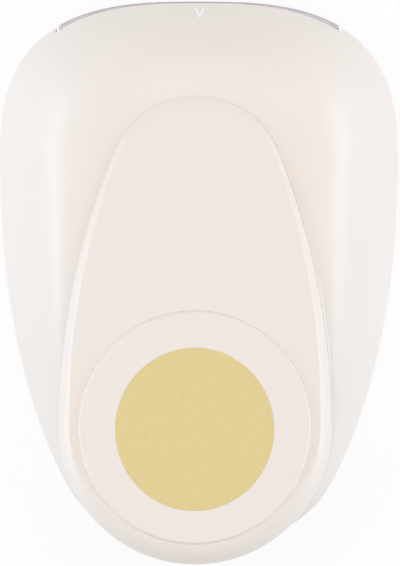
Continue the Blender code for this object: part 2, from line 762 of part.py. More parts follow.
def make_return_springs(looks):
    """Four coil springs round the pins, which lift the carrier."""
    low = GUIDE_BOTTOM + POCKET_FLOOR + SEAT_GAP + SPRING_WIRE_RADIUS
    high = CARRIER_BOTTOM - SEAT_GAP - SPRING_WIRE_RADIUS
    for number, (x, y) in enumerate(pin_places(), 1):
        points = spring_points(x, y, low, high)
        rings = []
        for index, point in enumerate(points):
            before = points[max(index - 1, 0)]
            after = points[min(index + 1, len(points) - 1)]
            along = (after - before).normalized()
            outward = Vector((point.x - x, point.y - y, 0.0)).normalized()
            upward = along.cross(outward)
            ring = []
            for corner in range(WIRE_STEPS):
                angle = math.tau * corner / WIRE_STEPS
                offset = outward * math.cos(angle) + upward * math.sin(angle)
                ring.append(point + offset * SPRING_WIRE_RADIUS)
            rings.append(ring)
        loft(f"return_spring_{number}", rings, looks["spring"])


def make_punch_block(looks):
    """Round punch: a cutting ring under a web, with a hub that carries the load."""
    bottom = PUNCH_BOTTOM
    top = PUNCH_BOTTOM + PUNCH_HEIGHT
    inner = PUNCH_RADIUS - PUNCH_WALL
    profile = [
        (HUB_RADIUS, top - PUNCH_WEB),
        (inner, top - PUNCH_WEB),
        (inner, bottom),
        (PUNCH_RADIUS, bottom),
        (PUNCH_RADIUS, top),
        (HUB_RADIUS, top),
        (HUB_RADIUS, CARRIER_BOTTOM - SEAT_GAP),
    ]
    punch = turned("punch_block", profile, (0.0, DIE_Y, 0.0), looks["steel"], steps=BORE_STEPS)
    holes = []
    for side in (-1.0, 1.0):
        place = (0.0, DIE_Y + side * CARRIER_SCREW_SPREAD)
        floor = CARRIER_BOTTOM - CARRIER_SCREW_BITE - SEAT_GAP
        holes.append(screw_hole(place, floor, CARRIER_BOTTOM + OVERRUN, looks["steel"]))
    return cut(punch, *holes)


def make_punch_carrier(looks):
    """Steel plate on the hub, whose ears slide on the pins and sit on the springs."""
    half_x = PIN_X + CARRIER_EAR
    half_y = PIN_HALF_SPACING + CARRIER_EAR
    low_y = DIE_Y - half_y
    high_y = DIE_Y + half_y
    outline = outline_from_widths(
        lambda y: rounded_half_width(y, half_x, low_y, high_y, CARRIER_CORNER), low_y, high_y, 24)
    carrier = prism("punch_carrier", outline, CARRIER_BOTTOM, CARRIER_TOP, looks["sheet"])
    low = CARRIER_BOTTOM - OVERRUN
    high = CARRIER_TOP + OVERRUN
    holes = []
    for x, y in pin_places():
        holes.append(cylinder("pin_hole", PIN_RADIUS + RUN_GAP, low, high, (x, y, 0.0), looks["sheet"]))
    for side in (-1.0, 1.0):
        holes.append(screw_hole((0.0, DIE_Y + side * CARRIER_SCREW_SPREAD), low, high, looks["sheet"]))
    return cut(carrier, *holes)


def make_carrier_screws(looks):
    """Two screws down through the carrier into the hub."""
    seat = CARRIER_TOP + SEAT_GAP
    bite = CARRIER_THICKNESS + CARRIER_SCREW_BITE
    for number, side in enumerate((-1.0, 1.0), 1):
        place = (0.0, DIE_Y + side * CARRIER_SCREW_SPREAD, seat)
        screw(f"carrier_screw_{number}", place, bite, looks["steel"], pointing=-1.0)


# Housing

def edge_height(y):
    """Height of the housing's edge round the lever, high at the front and low at the back."""
    share = min(max((EDGE_FALL_Y - y) / EDGE_FALL_LENGTH, 0.0), 1.0)
    fall = ease(share ** EDGE_FALL_POWER_SHARE)
    return EDGE_FRONT_HEIGHT + (EDGE_REAR_HEIGHT - EDGE_FRONT_HEIGHT) * fall


def opening_reach(index):
    """How far along a ray the edge of the lever's bay lies."""
    by_lever = reach(index, lambda y: lever_half_width(y, BAY_GAP))
    by_rim = reach(index, lambda y: egg_half_width(y, BAY_RIM))
    return min(by_lever, by_rim)


def land_height(y):
    """Height of the upright rim at y, which rises over the paper slot at the front."""
    share = ease((y - LAND_RISE_Y) / (CASSETTE_FRONT_Y - LAND_RISE_Y))
    return LAND_LOW_HEIGHT + (LAND_FRONT_HEIGHT - LAND_LOW_HEIGHT) * share


def flank_power(y):
    """How domed the flank is at y: round at the front, nearly straight at the back."""
    share = ease((y - FLANK_REAR_Y) / (FLANK_FRONT_Y - FLANK_REAR_Y))
    return FLANK_REAR_POWER_SHARE + (FLANK_FRONT_POWER_SHARE - FLANK_REAR_POWER_SHARE) * share


def flank_height(low_z, edge_z, power, share):
    """Height on the domed flank, from the rim at share 0 to the bay's edge at share 1."""
    return low_z + (edge_z - low_z) * (1.0 - (1.0 - share) ** power)


def housing_rings(depth_share, shares):
    """Rings of the flank, foot first, at a share of the wall's thickness in from the outside."""
    depth = HOUSING_WALL * depth_share
    rings = [[] for _ in shares]
    for index in range(RAYS):
        rim = reach(index, egg_half_width)
        opening = opening_reach(index)
        low_z = land_height(on_ray(index, rim, 0.0)[1])
        edge_y = on_ray(index, opening, 0.0)[1]
        edge_z = edge_height(edge_y)
        power = flank_power(edge_y)
        outer = rim - min(depth, (rim - opening) * depth_share / 2)
        inner = opening + EDGE_ROUND * (1.0 - depth_share)
        for ring, share in zip(rings, shares):
            distance = outer + (inner - outer) * share
            ring.append(on_ray(index, distance, flank_height(low_z, edge_z - depth, power, share)))
    return rings


def moved_in(ring, distance):
    """A ring drawn towards the ray centre."""
    moved = []
    for x, y, z in ring:
        away = math.hypot(x, y - RAY_CENTRE_Y)
        share = 1.0 - distance / away
        moved.append((x * share, RAY_CENTRE_Y + (y - RAY_CENTRE_Y) * share, z))
    return moved


def at_height(ring, z):
    """A ring moved to one height."""
    return [(x, y, z) for x, y, _ in ring]


def lowered(ring, distance):
    """A ring moved down."""
    return [(x, y, z - distance) for x, y, z in ring]


def make_housing_shell(looks):
    """Outer skin of the housing: a domed ring round the lever's bay."""
    outside = housing_rings(0.0, FLANK_SHARES)
    inside = housing_rings(1.0, INNER_FLANK_SHARES)
    foot = at_height(moved_in(outside[0], HOUSING_FOOT_ROUND), HOUSING_FOOT)
    land = at_height(outside[0], HOUSING_FOOT + HOUSING_FOOT_ROUND)
    across = EDGE_ROUND * (1.0 - EDGE_PART_SHARE)
    edge_middle = lowered(moved_in(outside[-1], across), EDGE_ROUND * EDGE_PART_SHARE)
    edge = lowered(moved_in(outside[-1], EDGE_ROUND), EDGE_ROUND)
    rings = [foot, land] + outside + [edge_middle, edge]
    rings += list(reversed(inside)) + [at_height(inside[0], HOUSING_FOOT)]
    return loft("housing", rings, looks["shell"], closed=True)


def make_housing_limit(looks):
    """Solid that fills the housing out to the middle of its wall, open upwards over the bay."""
    middle = housing_rings(WALL_MIDDLE_SHARE, INNER_FLANK_SHARES)
    below = at_height(middle[0], 0.0)
    above = at_height(middle[-1], LENGTH)
    return loft("housing_limit", [below] + middle + [above], looks["shell"])


def make_bay(looks):
    """Wall and floor of the lever's bay, behind the cutting set."""
    names = ("below", "outer", "inner", "floor")
    rings = {name: [] for name in names}
    for step in range(RAYS):
        index = step + RAYS_HALF_STEP_SHARE
        opening = opening_reach(index) + BAY_STEP
        edge_z = edge_height(on_ray(index, opening, 0.0)[1]) - HOUSING_WALL / 2
        rings["below"].append(on_ray(index, opening + BAY_WALL, DECK_HEIGHT - DECK_THICKNESS))
        rings["outer"].append(on_ray(index, opening + BAY_WALL, edge_z))
        rings["inner"].append(on_ray(index, opening, edge_z))
        rings["floor"].append(on_ray(index, opening, min(DECK_HEIGHT, edge_z - BAY_STEP)))
    bay = loft("bay", [rings[name] for name in names], looks["shell"])
    front = block("bay_front", (-LENGTH, DECK_FRONT_Y, 0.0), (LENGTH, LENGTH, LENGTH), looks["shell"])
    return cut(bay, front)


def make_slot_flange(looks):
    """Inward flange of the front wall, which roofs the mouth of the paper slot."""
    inner_y = CASSETTE_FRONT_Y + SEAT_GAP
    half = MOUTH_HALF_WIDTH + SLOT_FLANGE_SIDE
    low = GUIDE_BOTTOM - SEAT_GAP
    return block("slot_flange", (-half, inner_y, low), (half, LENGTH, low + SLOT_FLANGE), looks["shell"])


def make_bosses(looks):
    """Six round posts that take the base screws."""
    low = HOUSING_FOOT + BOSS_STEP
    deck_middle = DECK_HEIGHT - DECK_THICKNESS / 2
    bosses = []
    for places, high in ((side_boss_places(), GUIDE_TOP), (rear_boss_places(), deck_middle)):
        for x, y in places:
            bosses.append(cylinder("boss", BOSS_RADIUS, low, high, (x, y, 0.0), looks["shell"]))
    return bosses


def make_housing(looks):
    """Housing with its bay, bosses and slot flange, cut for the paper slot."""
    inner = join(make_bay(looks), make_slot_flange(looks), *make_bosses(looks))
    trim(inner, make_housing_limit(looks))
    housing = join(make_housing_shell(looks), inner)
    low = HOUSING_FOOT - OVERRUN
    mouth_low = (-MOUTH_HALF_WIDTH, DIE_Y, low)
    mouth_high = (MOUTH_HALF_WIDTH, LENGTH, GUIDE_BOTTOM)
    cutters = [block("mouth", mouth_low, mouth_high, looks["shell"])]
    for place in base_screw_places():
        top = BASE_THICKNESS + BASE_SCREW_BITE + SEAT_GAP
        cutters.append(screw_hole(place, low, top, looks["shell"]))
    return cut(housing, *cutters)


# Lever

def lever_top(y):
    """Height of the lever's top at y: steep at the nose, nearly level at the back."""
    share = min(max((LEVER_NOSE_Y - y) / LEVER_LENGTH, 0.0), 1.0)
    return LEVER_NOSE_HEIGHT + LEVER_RISE * (1.0 - (1.0 - share) ** LEVER_RISE_POWER_SHARE)


def skirt_height(y):
    """Height of the lever's lower edge at y."""
    if y < SKIRT_LOW_Y:
        share = (SKIRT_LOW_Y - y) / (SKIRT_LOW_Y - REAR_Y)
        return SKIRT_LOW_HEIGHT + (SKIRT_REAR_HEIGHT - SKIRT_LOW_HEIGHT) * share
    share = ease((y - SKIRT_LOW_Y) / SKIRT_BLEND)
    return SKIRT_LOW_HEIGHT + (SKIRT_FRONT_HEIGHT - SKIRT_LOW_HEIGHT) * share


def fillet_radius(y):
    """Radius of the lever's upper edge at y: small at the nose, large at the back."""
    forward = ease((y - DIE_Y) / (LEVER_NOSE_Y - DIE_Y))
    backward = ease((LEVER_END_Y - y) / LEVER_END_RADIUS)
    radius = SIDE_FILLET + (NOSE_FILLET - SIDE_FILLET) * forward
    return radius + (REAR_FILLET - SIDE_FILLET) * backward


def lever_ring(inset_at, height_at):
    """Ring on the teardrop, with its inset and height worked out point by point."""
    ring = []
    for index in range(RAYS):
        full_y = on_ray(index, reach(index, lever_half_width), 0.0)[1]
        inset = inset_at(full_y)
        distance = reach(index, lambda y: lever_half_width(y, -inset))
        x, y, _ = on_ray(index, distance, 0.0)
        ring.append((x, y, height_at(y, full_y)))
    return ring


def shrunk(ring, share, height_at):
    """A ring scaled in plan about the ray centre and laid on a surface."""
    points = []
    for x, y, _ in ring:
        near_y = RAY_CENTRE_Y + (y - RAY_CENTRE_Y) * share
        points.append((x * share, near_y, height_at(near_y)))
    return points


def fillet_ring(step):
    """One ring of the rounded upper edge."""
    angle = math.pi / 2 * step / FILLET_STEPS

    def inset_at(full_y):
        return fillet_radius(full_y) * (1.0 - math.cos(angle))

    def height_at(y, full_y):
        return lever_top(y) - fillet_radius(full_y) * (1.0 - math.sin(angle))

    return lever_ring(inset_at, height_at)


def lever_roof(y):
    """Height of the underside of the lever's top."""
    return lever_top(y) - LEVER_ROOF


def core_top():
    """Height of the top of the core's web, below the lever's roof at the web's front."""
    return lever_roof(CORE_WEB_FRONT_Y) - CORE_BELOW_ROOF


def make_lever_cover(looks):
    """Moulded teardrop cover, hollow and open below, with a seat for the pad."""
    shell = looks["shell"]
    foot = lever_ring(lambda y: 0.0, lambda y, full_y: skirt_height(y))
    fillets = [fillet_ring(step) for step in range(FILLET_STEPS + 1)]
    top = [shrunk(fillets[-1], share, lever_top) for share in TOP_SHARES]
    inner_foot = lever_ring(lambda y: LEVER_WALL, lambda y, full_y: skirt_height(y))
    inner_top = lever_ring(lambda y: LEVER_WALL, lambda y, full_y: lever_roof(y) - SIDE_FILLET)
    roof_edge = lever_ring(lambda y: LEVER_WALL + SIDE_FILLET, lambda y, full_y: lever_roof(y))
    roof = [shrunk(roof_edge, share, lever_roof) for share in ROOF_SHARES]
    rings = list(reversed(top)) + list(reversed(fillets)) + [foot, inner_foot, inner_top, roof_edge] + roof
    cover = loft("lever_cover", rings, shell)
    posts = []
    for x, y in lever_screw_places():
        low = core_top() + SEAT_GAP
        high = lever_roof(y) + LEVER_ROOF / 2
        posts.append(cylinder("post", LEVER_BOSS_RADIUS, low, high, (x, y, 0.0), shell))
    join(cover, *posts)
    cutters = [disc_on_top("cap_seat", CAP_RADIUS + CAP_SEAT_CLEARANCE, CAP_RADIUS + CAP_SEAT_CLEARANCE,
                           CAP_PROUD - CAP_THICKNESS - SEAT_GAP, CAP_PROUD + OVERRUN, shell)]
    for place in lever_screw_places():
        top = core_top() + LEVER_SCREW_BITE + SEAT_GAP
        cutters.append(screw_hole(place, core_top() - OVERRUN, top, shell))
    return cut(cover, *cutters)


def disc_ring(half_width, half_length, level):
    """Ring of a round plate at one height above the lever's top."""
    ring = []
    for x, y in circle_outline(half_width, 0.0, CAP_Y, DISC_STEPS, half_length):
        ring.append((x, y, lever_top(y) + level))
    return ring


def disc_on_top(name, half_width, half_length, low, high, material, edge=0.0):
    """Round plate that follows the lever's top, between two heights above it."""
    rings = [disc_ring(half_width * share, half_length * share, low) for share in DISC_SHARES]
    rings.append(disc_ring(half_width, half_length, low))
    rings.append(disc_ring(half_width, half_length, high - edge))
    if edge > 0.0:
        part = edge * EDGE_PART_SHARE
        rings.append(disc_ring(half_width - part, half_length - part, high - part))
        rings.append(disc_ring(half_width - edge, half_length - edge, high))
    for share in reversed(DISC_SHARES):
        rings.append(disc_ring(half_width * share, half_length * share, high))
    return loft(name, rings, material)


def make_pad_cap(looks):
    """Raised round pad in the lever's top, with a shallow seat for the coloured disc."""
    low = CAP_PROUD - CAP_THICKNESS
    cap = disc_on_top("pad_cap", CAP_RADIUS, CAP_RADIUS, low, CAP_PROUD, looks["shell"], CAP_EDGE)
    seat = CAP_PROUD - DISC_BELOW_CAP - DISC_THICKNESS - SEAT_GAP
    grow = SEAT_GAP
    cutter = disc_on_top("disc_seat", DISC_HALF_WIDTH + grow, DISC_HALF_LENGTH + grow,
                         seat, CAP_PROUD + OVERRUN, looks["shell"])
    return cut(cap, cutter)


def make_colour_disc(looks):
    """Gold disc set into the pad."""
    high = CAP_PROUD - DISC_BELOW_CAP
    low = high - DISC_THICKNESS
    return disc_on_top("colour_disc", DISC_HALF_WIDTH, DISC_HALF_LENGTH, low, high, looks["gold"])


def lever_screw_places():
    """Where the three screws hold the steel core to the cover."""
    front_y = DIE_Y - LEVER_SCREW_BEHIND_DIE
    spacing = (front_y - CORE_REAR_Y - LEVER_SCREW_FROM_REAR) / (LEVER_SCREWS - 1)
    return [(0.0, front_y - number * spacing) for number in range(LEVER_SCREWS)]


def core_side_outline():
    """Side view of the core's cheek: an eye at the pivot, a neck under the nose, then a beam."""
    top_z = core_top()
    low_z = ROLLER_HEIGHT - ROLLER_EYE_RADIUS
    carrier_half = PIN_HALF_SPACING + CARRIER_EAR
    nose_y = LEVER_NOSE_Y - LEVER_NOSE_RADIUS
    inner_nose = LEVER_NOSE_RADIUS - LEVER_WALL - SEAT_GAP
    neck_y = nose_y + math.sqrt(inner_nose ** 2 - (CORE_HALF_WIDTH + SEAT_GAP) ** 2)
    shoulder_y = neck_y - CORE_EYE_RADIUS
    outline = []
    for step in range(EYE_STEPS + 1):
        angle = math.radians(EYE_LOW_DEGREES + EYE_TURN_DEGREES * step / EYE_STEPS)
        outline.append((PIVOT_Y + CORE_EYE_RADIUS * math.cos(angle),
                        PIVOT_HEIGHT + CORE_EYE_RADIUS * math.sin(angle)))
    outline.append((neck_y, CORE_NECK_HEIGHT))
    outline.append((shoulder_y, lever_roof(shoulder_y) - SIDE_FILLET - SEAT_GAP))
    outline.append((CORE_WEB_FRONT_Y, top_z))
    outline.append((CORE_REAR_Y, top_z))
    outline.append((CORE_REAR_Y, top_z - CORE_TAIL_DEPTH))
    outline.append((DIE_Y - carrier_half, low_z + carrier_half * CORE_RISE_SHARE))
    outline.append((DIE_Y - ROLLER_EYE_RADIUS, low_z))
    outline.append((DIE_Y + carrier_half + RUN_GAP, low_z))
    return outline


def make_lever_core(looks):
    """Folded steel channel that joins the hinge, the roller and the cover."""
    sheet = looks["sheet"]
    inner_x = CORE_HALF_WIDTH - CORE_PLATE
    outline = core_side_outline()
    core = slab_across("lever_core", outline, -CORE_HALF_WIDTH, -inner_x, sheet)
    cheek = slab_across("cheek", outline, inner_x, CORE_HALF_WIDTH, sheet)
    top_z = core_top()
    low = (-CORE_HALF_WIDTH, CORE_REAR_Y, top_z - CORE_PLATE)
    web = block("web", low, (CORE_HALF_WIDTH, CORE_WEB_FRONT_Y, top_z), sheet)
    join(core, cheek, web)
    length = CORE_HALF_WIDTH + OVERRUN
    pivot = (0.0, PIVOT_Y, PIVOT_HEIGHT)
    roller = (0.0, DIE_Y, ROLLER_HEIGHT)
    cutters = [
        cylinder("pivot_hole", AXLE_RADIUS + RUN_GAP, -length, length, pivot, sheet, "X"),
        cylinder("roller_hole", ROLLER_PIN_RADIUS + RUN_GAP, -length, length, roller, sheet, "X"),
    ]
    for place in lever_screw_places():
        cutters.append(screw_hole(place, top_z - CORE_PLATE - OVERRUN, top_z + OVERRUN, sheet))
    return cut(core, *cutters)


def make_lever_screws(looks):
    """Three screws up through the core into the cover's posts."""
    seat = core_top() - CORE_PLATE - SEAT_GAP
    bite = CORE_PLATE + SEAT_GAP + LEVER_SCREW_BITE
    for number, (x, y) in enumerate(lever_screw_places(), 1):
        screw(f"lever_screw_{number}", (x, y, seat), bite, looks["steel"])


def make_hinge(looks):
    """Axle through the lugs and the core's eyes, held by two clips."""
    pivot = (0.0, PIVOT_Y, PIVOT_HEIGHT)
    cylinder("pivot_axle", AXLE_RADIUS, -AXLE_HALF_LENGTH, AXLE_HALF_LENGTH, pivot, looks["steel"], "X")
    for side, name in ((-1.0, "axle_clip_left"), (1.0, "axle_clip_right")):
        near = side * CLIP_INNER_X
        far = side * (CLIP_INNER_X + CLIP_THICKNESS)
        tube(name, CLIP_RADIUS, AXLE_RADIUS + RUN_GAP, min(near, far), max(near, far), pivot,
             looks["spring"], "X")


def make_roller(looks):
    """Roller that presses the carrier down, on its pin between the core's cheeks."""
    centre = (0.0, DIE_Y, ROLLER_HEIGHT)
    half = CORE_HALF_WIDTH - CORE_PLATE - RUN_GAP
    bore = ROLLER_PIN_RADIUS + RUN_GAP
    tube("press_roller", ROLLER_RADIUS, bore, -half, half, centre, looks["steel"], "X")
    length = CORE_HALF_WIDTH + AXLE_END
    cylinder("roller_pin", ROLLER_PIN_RADIUS, -length, length, centre, looks["steel"], "X")


def main():
    """Clear the scene and build every piece."""
    for old in list(bpy.data.objects):
        bpy.data.objects.remove(old)
    looks = make_materials()
    make_base_cover(looks)
    make_base_screws(looks)
    make_die_plate(looks)
    make_slot_shims(looks)
    make_guide_plate(looks)
    make_cassette_screws(looks)
    make_guide_pins(looks)
    make_return_springs(looks)
    make_punch_block(looks)
    make_punch_carrier(looks)
    make_carrier_screws(looks)
    make_housing(looks)
    make_lever_cover(looks)
    make_pad_cap(looks)
    make_colour_disc(looks)
    make_lever_core(looks)
    make_lever_screws(looks)
    make_hinge(looks)
    make_roller(looks)


main()
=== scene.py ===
"""Looks of the circle punch: fine moulded shells, finishes, light and camera.

Metres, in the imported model's frame: +Z up, +Y towards the paper slot, +X to the right.
"""

import math

import bmesh
import bpy
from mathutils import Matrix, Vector


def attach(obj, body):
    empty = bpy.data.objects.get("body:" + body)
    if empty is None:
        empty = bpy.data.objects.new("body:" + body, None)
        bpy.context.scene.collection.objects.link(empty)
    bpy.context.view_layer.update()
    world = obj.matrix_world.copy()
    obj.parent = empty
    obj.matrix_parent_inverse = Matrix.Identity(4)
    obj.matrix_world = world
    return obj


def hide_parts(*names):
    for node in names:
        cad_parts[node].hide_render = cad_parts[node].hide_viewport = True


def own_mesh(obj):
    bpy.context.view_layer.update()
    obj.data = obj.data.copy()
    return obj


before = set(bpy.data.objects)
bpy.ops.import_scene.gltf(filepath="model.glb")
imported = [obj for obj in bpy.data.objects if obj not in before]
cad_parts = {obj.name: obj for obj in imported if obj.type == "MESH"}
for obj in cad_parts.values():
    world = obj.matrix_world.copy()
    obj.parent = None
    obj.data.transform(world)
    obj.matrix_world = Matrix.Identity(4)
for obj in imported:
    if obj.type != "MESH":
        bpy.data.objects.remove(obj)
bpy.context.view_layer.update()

# Places along the punch and heights of its stack, as in the part
FRONT_Y = 0.0617
REAR_Y = -0.0617
DIE_Y = 0.0235
CAP_Y = -0.0319
RAY_CENTRE_Y = -0.0042
CASSETTE_FRONT_Y = 0.0539
CASSETTE_REAR_Y = -0.0060
DECK_FRONT_Y = -0.0090
BASE_TOP = 0.0024
DIE_BOTTOM = 0.0027
DIE_TOP = 0.0070
GUIDE_BOTTOM = 0.0086
GUIDE_TOP = 0.0128
DECK_FLOOR = 0.0077
DECK_BOTTOM = 0.0064
BORE_RADIUS = 0.0254
SEAT_GAP = 0.0003
OVERRUN = 0.0010

# Egg of the housing
BODY_HALF_WIDTH = 0.0440
EGG_WAIST_Y = 0.0250
EGG_FRONT_REACH = 0.0361
EGG_FRONT_POWER = 2.86
EGG_REAR_REACH = 0.0930
EGG_REAR_POWER = 2.04
EGG_TAIL_RADIUS = 0.0374
EGG_TAIL_Y = -0.0231
TAIL_SIDE_DEGREES = 30
TAIL_BLEND = 0.0010
HOUSING_WALL = 0.0020
FOOT_ROUND = 0.0004
LAND_LOW_HEIGHT = 0.0041
LAND_FRONT_HEIGHT = 0.0089
LAND_RISE_Y = 0.0150
FLANK_FRONT_POWER = 2.6
FLANK_REAR_POWER = 1.5
FLANK_FRONT_Y = 0.0300
FLANK_REAR_Y = -0.0300
EDGE_FRONT_HEIGHT = 0.0302
EDGE_REAR_HEIGHT = 0.0090
EDGE_FALL_Y = 0.0280
EDGE_FALL_LENGTH = 0.0860
EDGE_FALL_POWER = 1.25
EDGE_ROUND = 0.00003
CORNER_RISE = 0.0005
CORNER_REACH = 0.0009
CORNER_REACH_SHARE = 0.8
CORNER_FRONT_Y = 0.0200
CORNER_FRONT_FADE = 0.0400
CORNER_REAR_Y = -0.0450
CORNER_REAR_FADE = 0.0150
BAY_GAP = 0.00001
BAY_GAP_REAR = 0.0004
BAY_GAP_GROWS_Y = -0.0470
BAY_GAP_LENGTH = 0.0040
BAY_RIM = 0.0022
BAY_BLEND = 0.0010
BAY_WALL = 0.0016
BAY_STEP = 0.0006
BAY_CORNER = 0.0012
BAY_CORNER_SHARE = 0.8
FLANGE_HEIGHT = 0.0020
FLANGE_HALF_WIDTH = 0.0330
MOUTH_HALF_WIDTH = 0.0316
MOUTH_RECESS_MIDDLE = 0.00016
MOUTH_RECESS_END = 0.00096
MOUTH_RECESS_POWER = 2.2
MOUTH_RECESS_HIGH = 0.0160
BOSS_RADIUS = 0.0026
BOSS_HOLE_RADIUS = 0.0014
BOSS_STEP = 0.0002
BASE_SCREW_TOP = 0.0063
SIDE_BOSSES = [(-0.0385, 0.0080), (-0.0385, 0.0390), (0.0385, 0.0080), (0.0385, 0.0390)]
REAR_BOSSES = [(-0.0180, -0.0420), (0.0180, -0.0420)]
BASE_SCREWS = SIDE_BOSSES + REAR_BOSSES

# Teardrop of the lever
LEVER_NOSE_Y = 0.0399
LEVER_NOSE_RADIUS = 0.01905
LEVER_SIDE_RADIUS = 0.15706
LEVER_END_RADIUS = 0.0294
LEVER_END_Y = -0.0321
LEVER_LENGTH = 0.1016
LEVER_NOSE_HEIGHT = 0.0307
LEVER_RISE = 0.0209
LEVER_RISE_POWER = 1.8
LEVER_WALL = 0.0022
LEVER_ROOF = 0.0030
NOSE_ROLL = 0.0032
NOSE_DROP = 0.0005
NOSE_TURN_DEGREES = 30
BAND_START = 0.0010
BAND_GROWTH = 0.0013
BAND_START_Y = 0.0300
BAND_LENGTH = 0.0570
BAND_DROP_SHARE = 1.8
BAND_LEAN_DEGREES = 33
REAR_ROLL = 0.0050
BAND_SUPPORT = 0.00012
INNER_FILLET = 0.0022
FOOT_EDGE = 0.0005
SKIRT_DRAFT = 0.0003
SKIRT_FRONT_HEIGHT = 0.0240
SKIRT_LOW_HEIGHT = 0.0200
SKIRT_REAR_HEIGHT = 0.0296
SKIRT_LOW_Y = -0.0160
SKIRT_BLEND = 0.0140
POST_RADIUS = 0.0030
POST_FOOT = 0.03356
POST_HOLE_TOP = 0.03656
POST_HOLE_RADIUS = 0.0014
POST_YS = (0.0055, -0.0105, -0.0265)

# Pad on the lever
CAP_SEAT_RADIUS = 0.02512
CAP_RADIUS = 0.02511
CAP_PROUD = 0.0006
CAP_THICKNESS = 0.0017
CAP_EDGE = 0.00045
CAP_EDGE_DROP = 0.00055
CAP_LEAN_DEGREES = 40
CAP_TURN_DEGREES = 62
SEAT_DEPTH = 0.0014
SEAT_EDGE = 0.00004
DISC_HALF_WIDTH = 0.0171
DISC_HALF_LENGTH = 0.01749
DISC_Y = -0.0323
DISC_GAP = 0.00001
DISC_BELOW_CAP = 0.00001
DISC_THICKNESS = 0.0004
DISC_EDGE = 0.00002

# Die plate and base cover
LIP_HALF_WIDTH = 0.0309
LIP_PROUD = 0.0003
LIP_STEPS = 60
CASSETTE_HALF_WIDTH = 0.0356
CASSETTE_CORNER = 0.0060
CASSETTE_INSET = 0.0064
CASSETTE_SCREWS = [(-0.0335, 0.0030), (-0.0335, 0.0440), (0.0335, 0.0030), (0.0335, 0.0440)]
CASSETTE_SEAT = 0.0042
LIP_ROUND = 0.0004
BASE_INSET = 0.0006
BASE_EDGE = 0.0005
BASE_HOLE_RADIUS = 0.0290
BASE_SEAT = 0.0016

# Screws and springs
HEAD_RADIUS = 0.0023
HEAD_HEIGHT = 0.0012
HEAD_ROUND_SHARE = 0.5
HEAD_DOME_SHARE = 0.7
HEAD_ROOM = 0.0026
SHANK_RADIUS = 0.0011
SHANK_ROOM = 0.0014
CROSS_LENGTH = 0.0026
CROSS_WIDTH = 0.00055
CROSS_DEPTH = 0.0008
PIN_X = 0.0310
PIN_SPREAD = 0.0085
SPRING_RADIUS = 0.0027
WIRE_RADIUS = 0.0004
SPRING_TURNS = 3.5
SPRING_LOW = 0.0103
SPRING_HIGH = 0.0167

# Sets of screws: name, bite, places, height of the seat, body and whether they point down
SCREW_SETS = [
    ("base_screw", 0.0047, BASE_SCREWS, 0.0013, "base", False),
    ("cassette_screw", 0.0069, CASSETTE_SCREWS, 0.0039, "base", False),
    ("carrier_screw", 0.0042, [(0.0, 0.0150), (0.0, 0.0320)], 0.0199, "punch", True),
    ("lever_screw", 0.0055, [(0.0, y) for y in POST_YS], 0.03076, "lever", False),
]

# Mark of the cut's middle, high on the front wall
MARK_X = 0.0003
MARK_HALF_WIDTH = 0.0012
MARK_STROKE = 0.0005
MARK_LOW = 0.0130
MARK_HIGH = 0.0176
MARK_STROKE_HIGH = 0.0156
MARK_PROUD_HIGH = 0.0001
MARK_PROUD_LOW = 0.0004
MARK_SUNK = 0.0003

# Fineness
RAYS = 300
SPOKES = 360
SOLVE_STEPS = 30
FLANK_STEPS = 26
FLANK_CROWDING = 1.5
INNER_STEPS = 8
ROOF_STEPS = 14
ROUND_STEPS = 5
FOOT_STEPS = 2
EDGE_STEPS = 3
BAND_STEPS = 9
SPUN_STEPS = 40
DISC_POINTS = 180
SCREW_POINTS = 30
SEAT_RINGS = (0.05, 0.35, 0.7)
PAD_FOOT_RINGS = (0.1, 0.5, 1.0)
PAD_TOP_RINGS = (0.3, 0.65)
DISC_FOOT_RINGS = (0.1, 0.6, 1.0)
DISC_TOP_RINGS = (0.85, 0.6, 0.35, 0.1)
SPRING_STEPS = 20
WIRE_POINTS = 10
SMOOTH_DEGREES = 32
BENT_DEGREES = 0.2
WELD = 0.000001

# Camera, at the photograph's angle
CAMERA_HEIGHT = 1.6
CAMERA_X = 0.0289
CAMERA_Y = -0.00077
AIM_X = 0.0002
CAMERA_TURN_DEGREES = 0.1
LENS = 458.4
SENSOR = 36.0
VIEW_DEPTH = 16.0

# Studio
FLOOR_SIZE = 8.0
FLOOR_DROP = 0.0002
FLOOR_COLOUR = (0.90, 0.90, 0.90, 1.0)
FLOOR_ROUGHNESS = 0.9
FLOOR_WHITE = 1.03
FLOOR_WHITE_SHARE = 0.8
ROOM_COLOUR = (1.0, 1.0, 1.0, 1.0)
ROOM_STRENGTH = 0.50
ROOM_WHITE = 1.0
ROOM_WHITE_SHARE = 1.0
LAMP_AIM = (0.0, 0.0, 0.02)

# Soft lamps, low and slightly cool at both sides, wide and warm overhead: name, place, width,
# length, share of full white and colour
SOFTBOXES = [
    ("left_box", (-0.9, 0.05, 0.27), 1.1, 0.30, 0.466, (0.711, 0.837, 1.0)),
    ("right_box", (0.9, 0.05, 0.27), 1.1, 0.30, 0.438, (0.765, 0.859, 1.0)),
    ("top_box", (0.0, 0.2, 1.4), 2.4, 2.4, 0.664, (1.0, 0.886, 0.843)),
]

# Where the patterns of the finishes start and end
PATTERN_LIMITS = (0.3, 0.7)


# Shapes in plan

def ease(share):
    """Smooth step from 0 to 1."""
    clamped = min(max(share, 0.0), 1.0)
    return (1.0 - math.cos(math.pi * clamped)) / 2


def tail_limit(y, inset):
    """Half width of the round tail at y, whose sides run on straight."""
    radius = EGG_TAIL_RADIUS - inset
    lean = math.radians(TAIL_SIDE_DEGREES)
    joint_y = EGG_TAIL_Y - radius * math.sin(lean)
    if y < joint_y:
        return math.sqrt(max(radius ** 2 - (y - EGG_TAIL_Y) ** 2, 0.0))
    return radius * math.cos(lean) + (y - joint_y) * math.tan(lean)


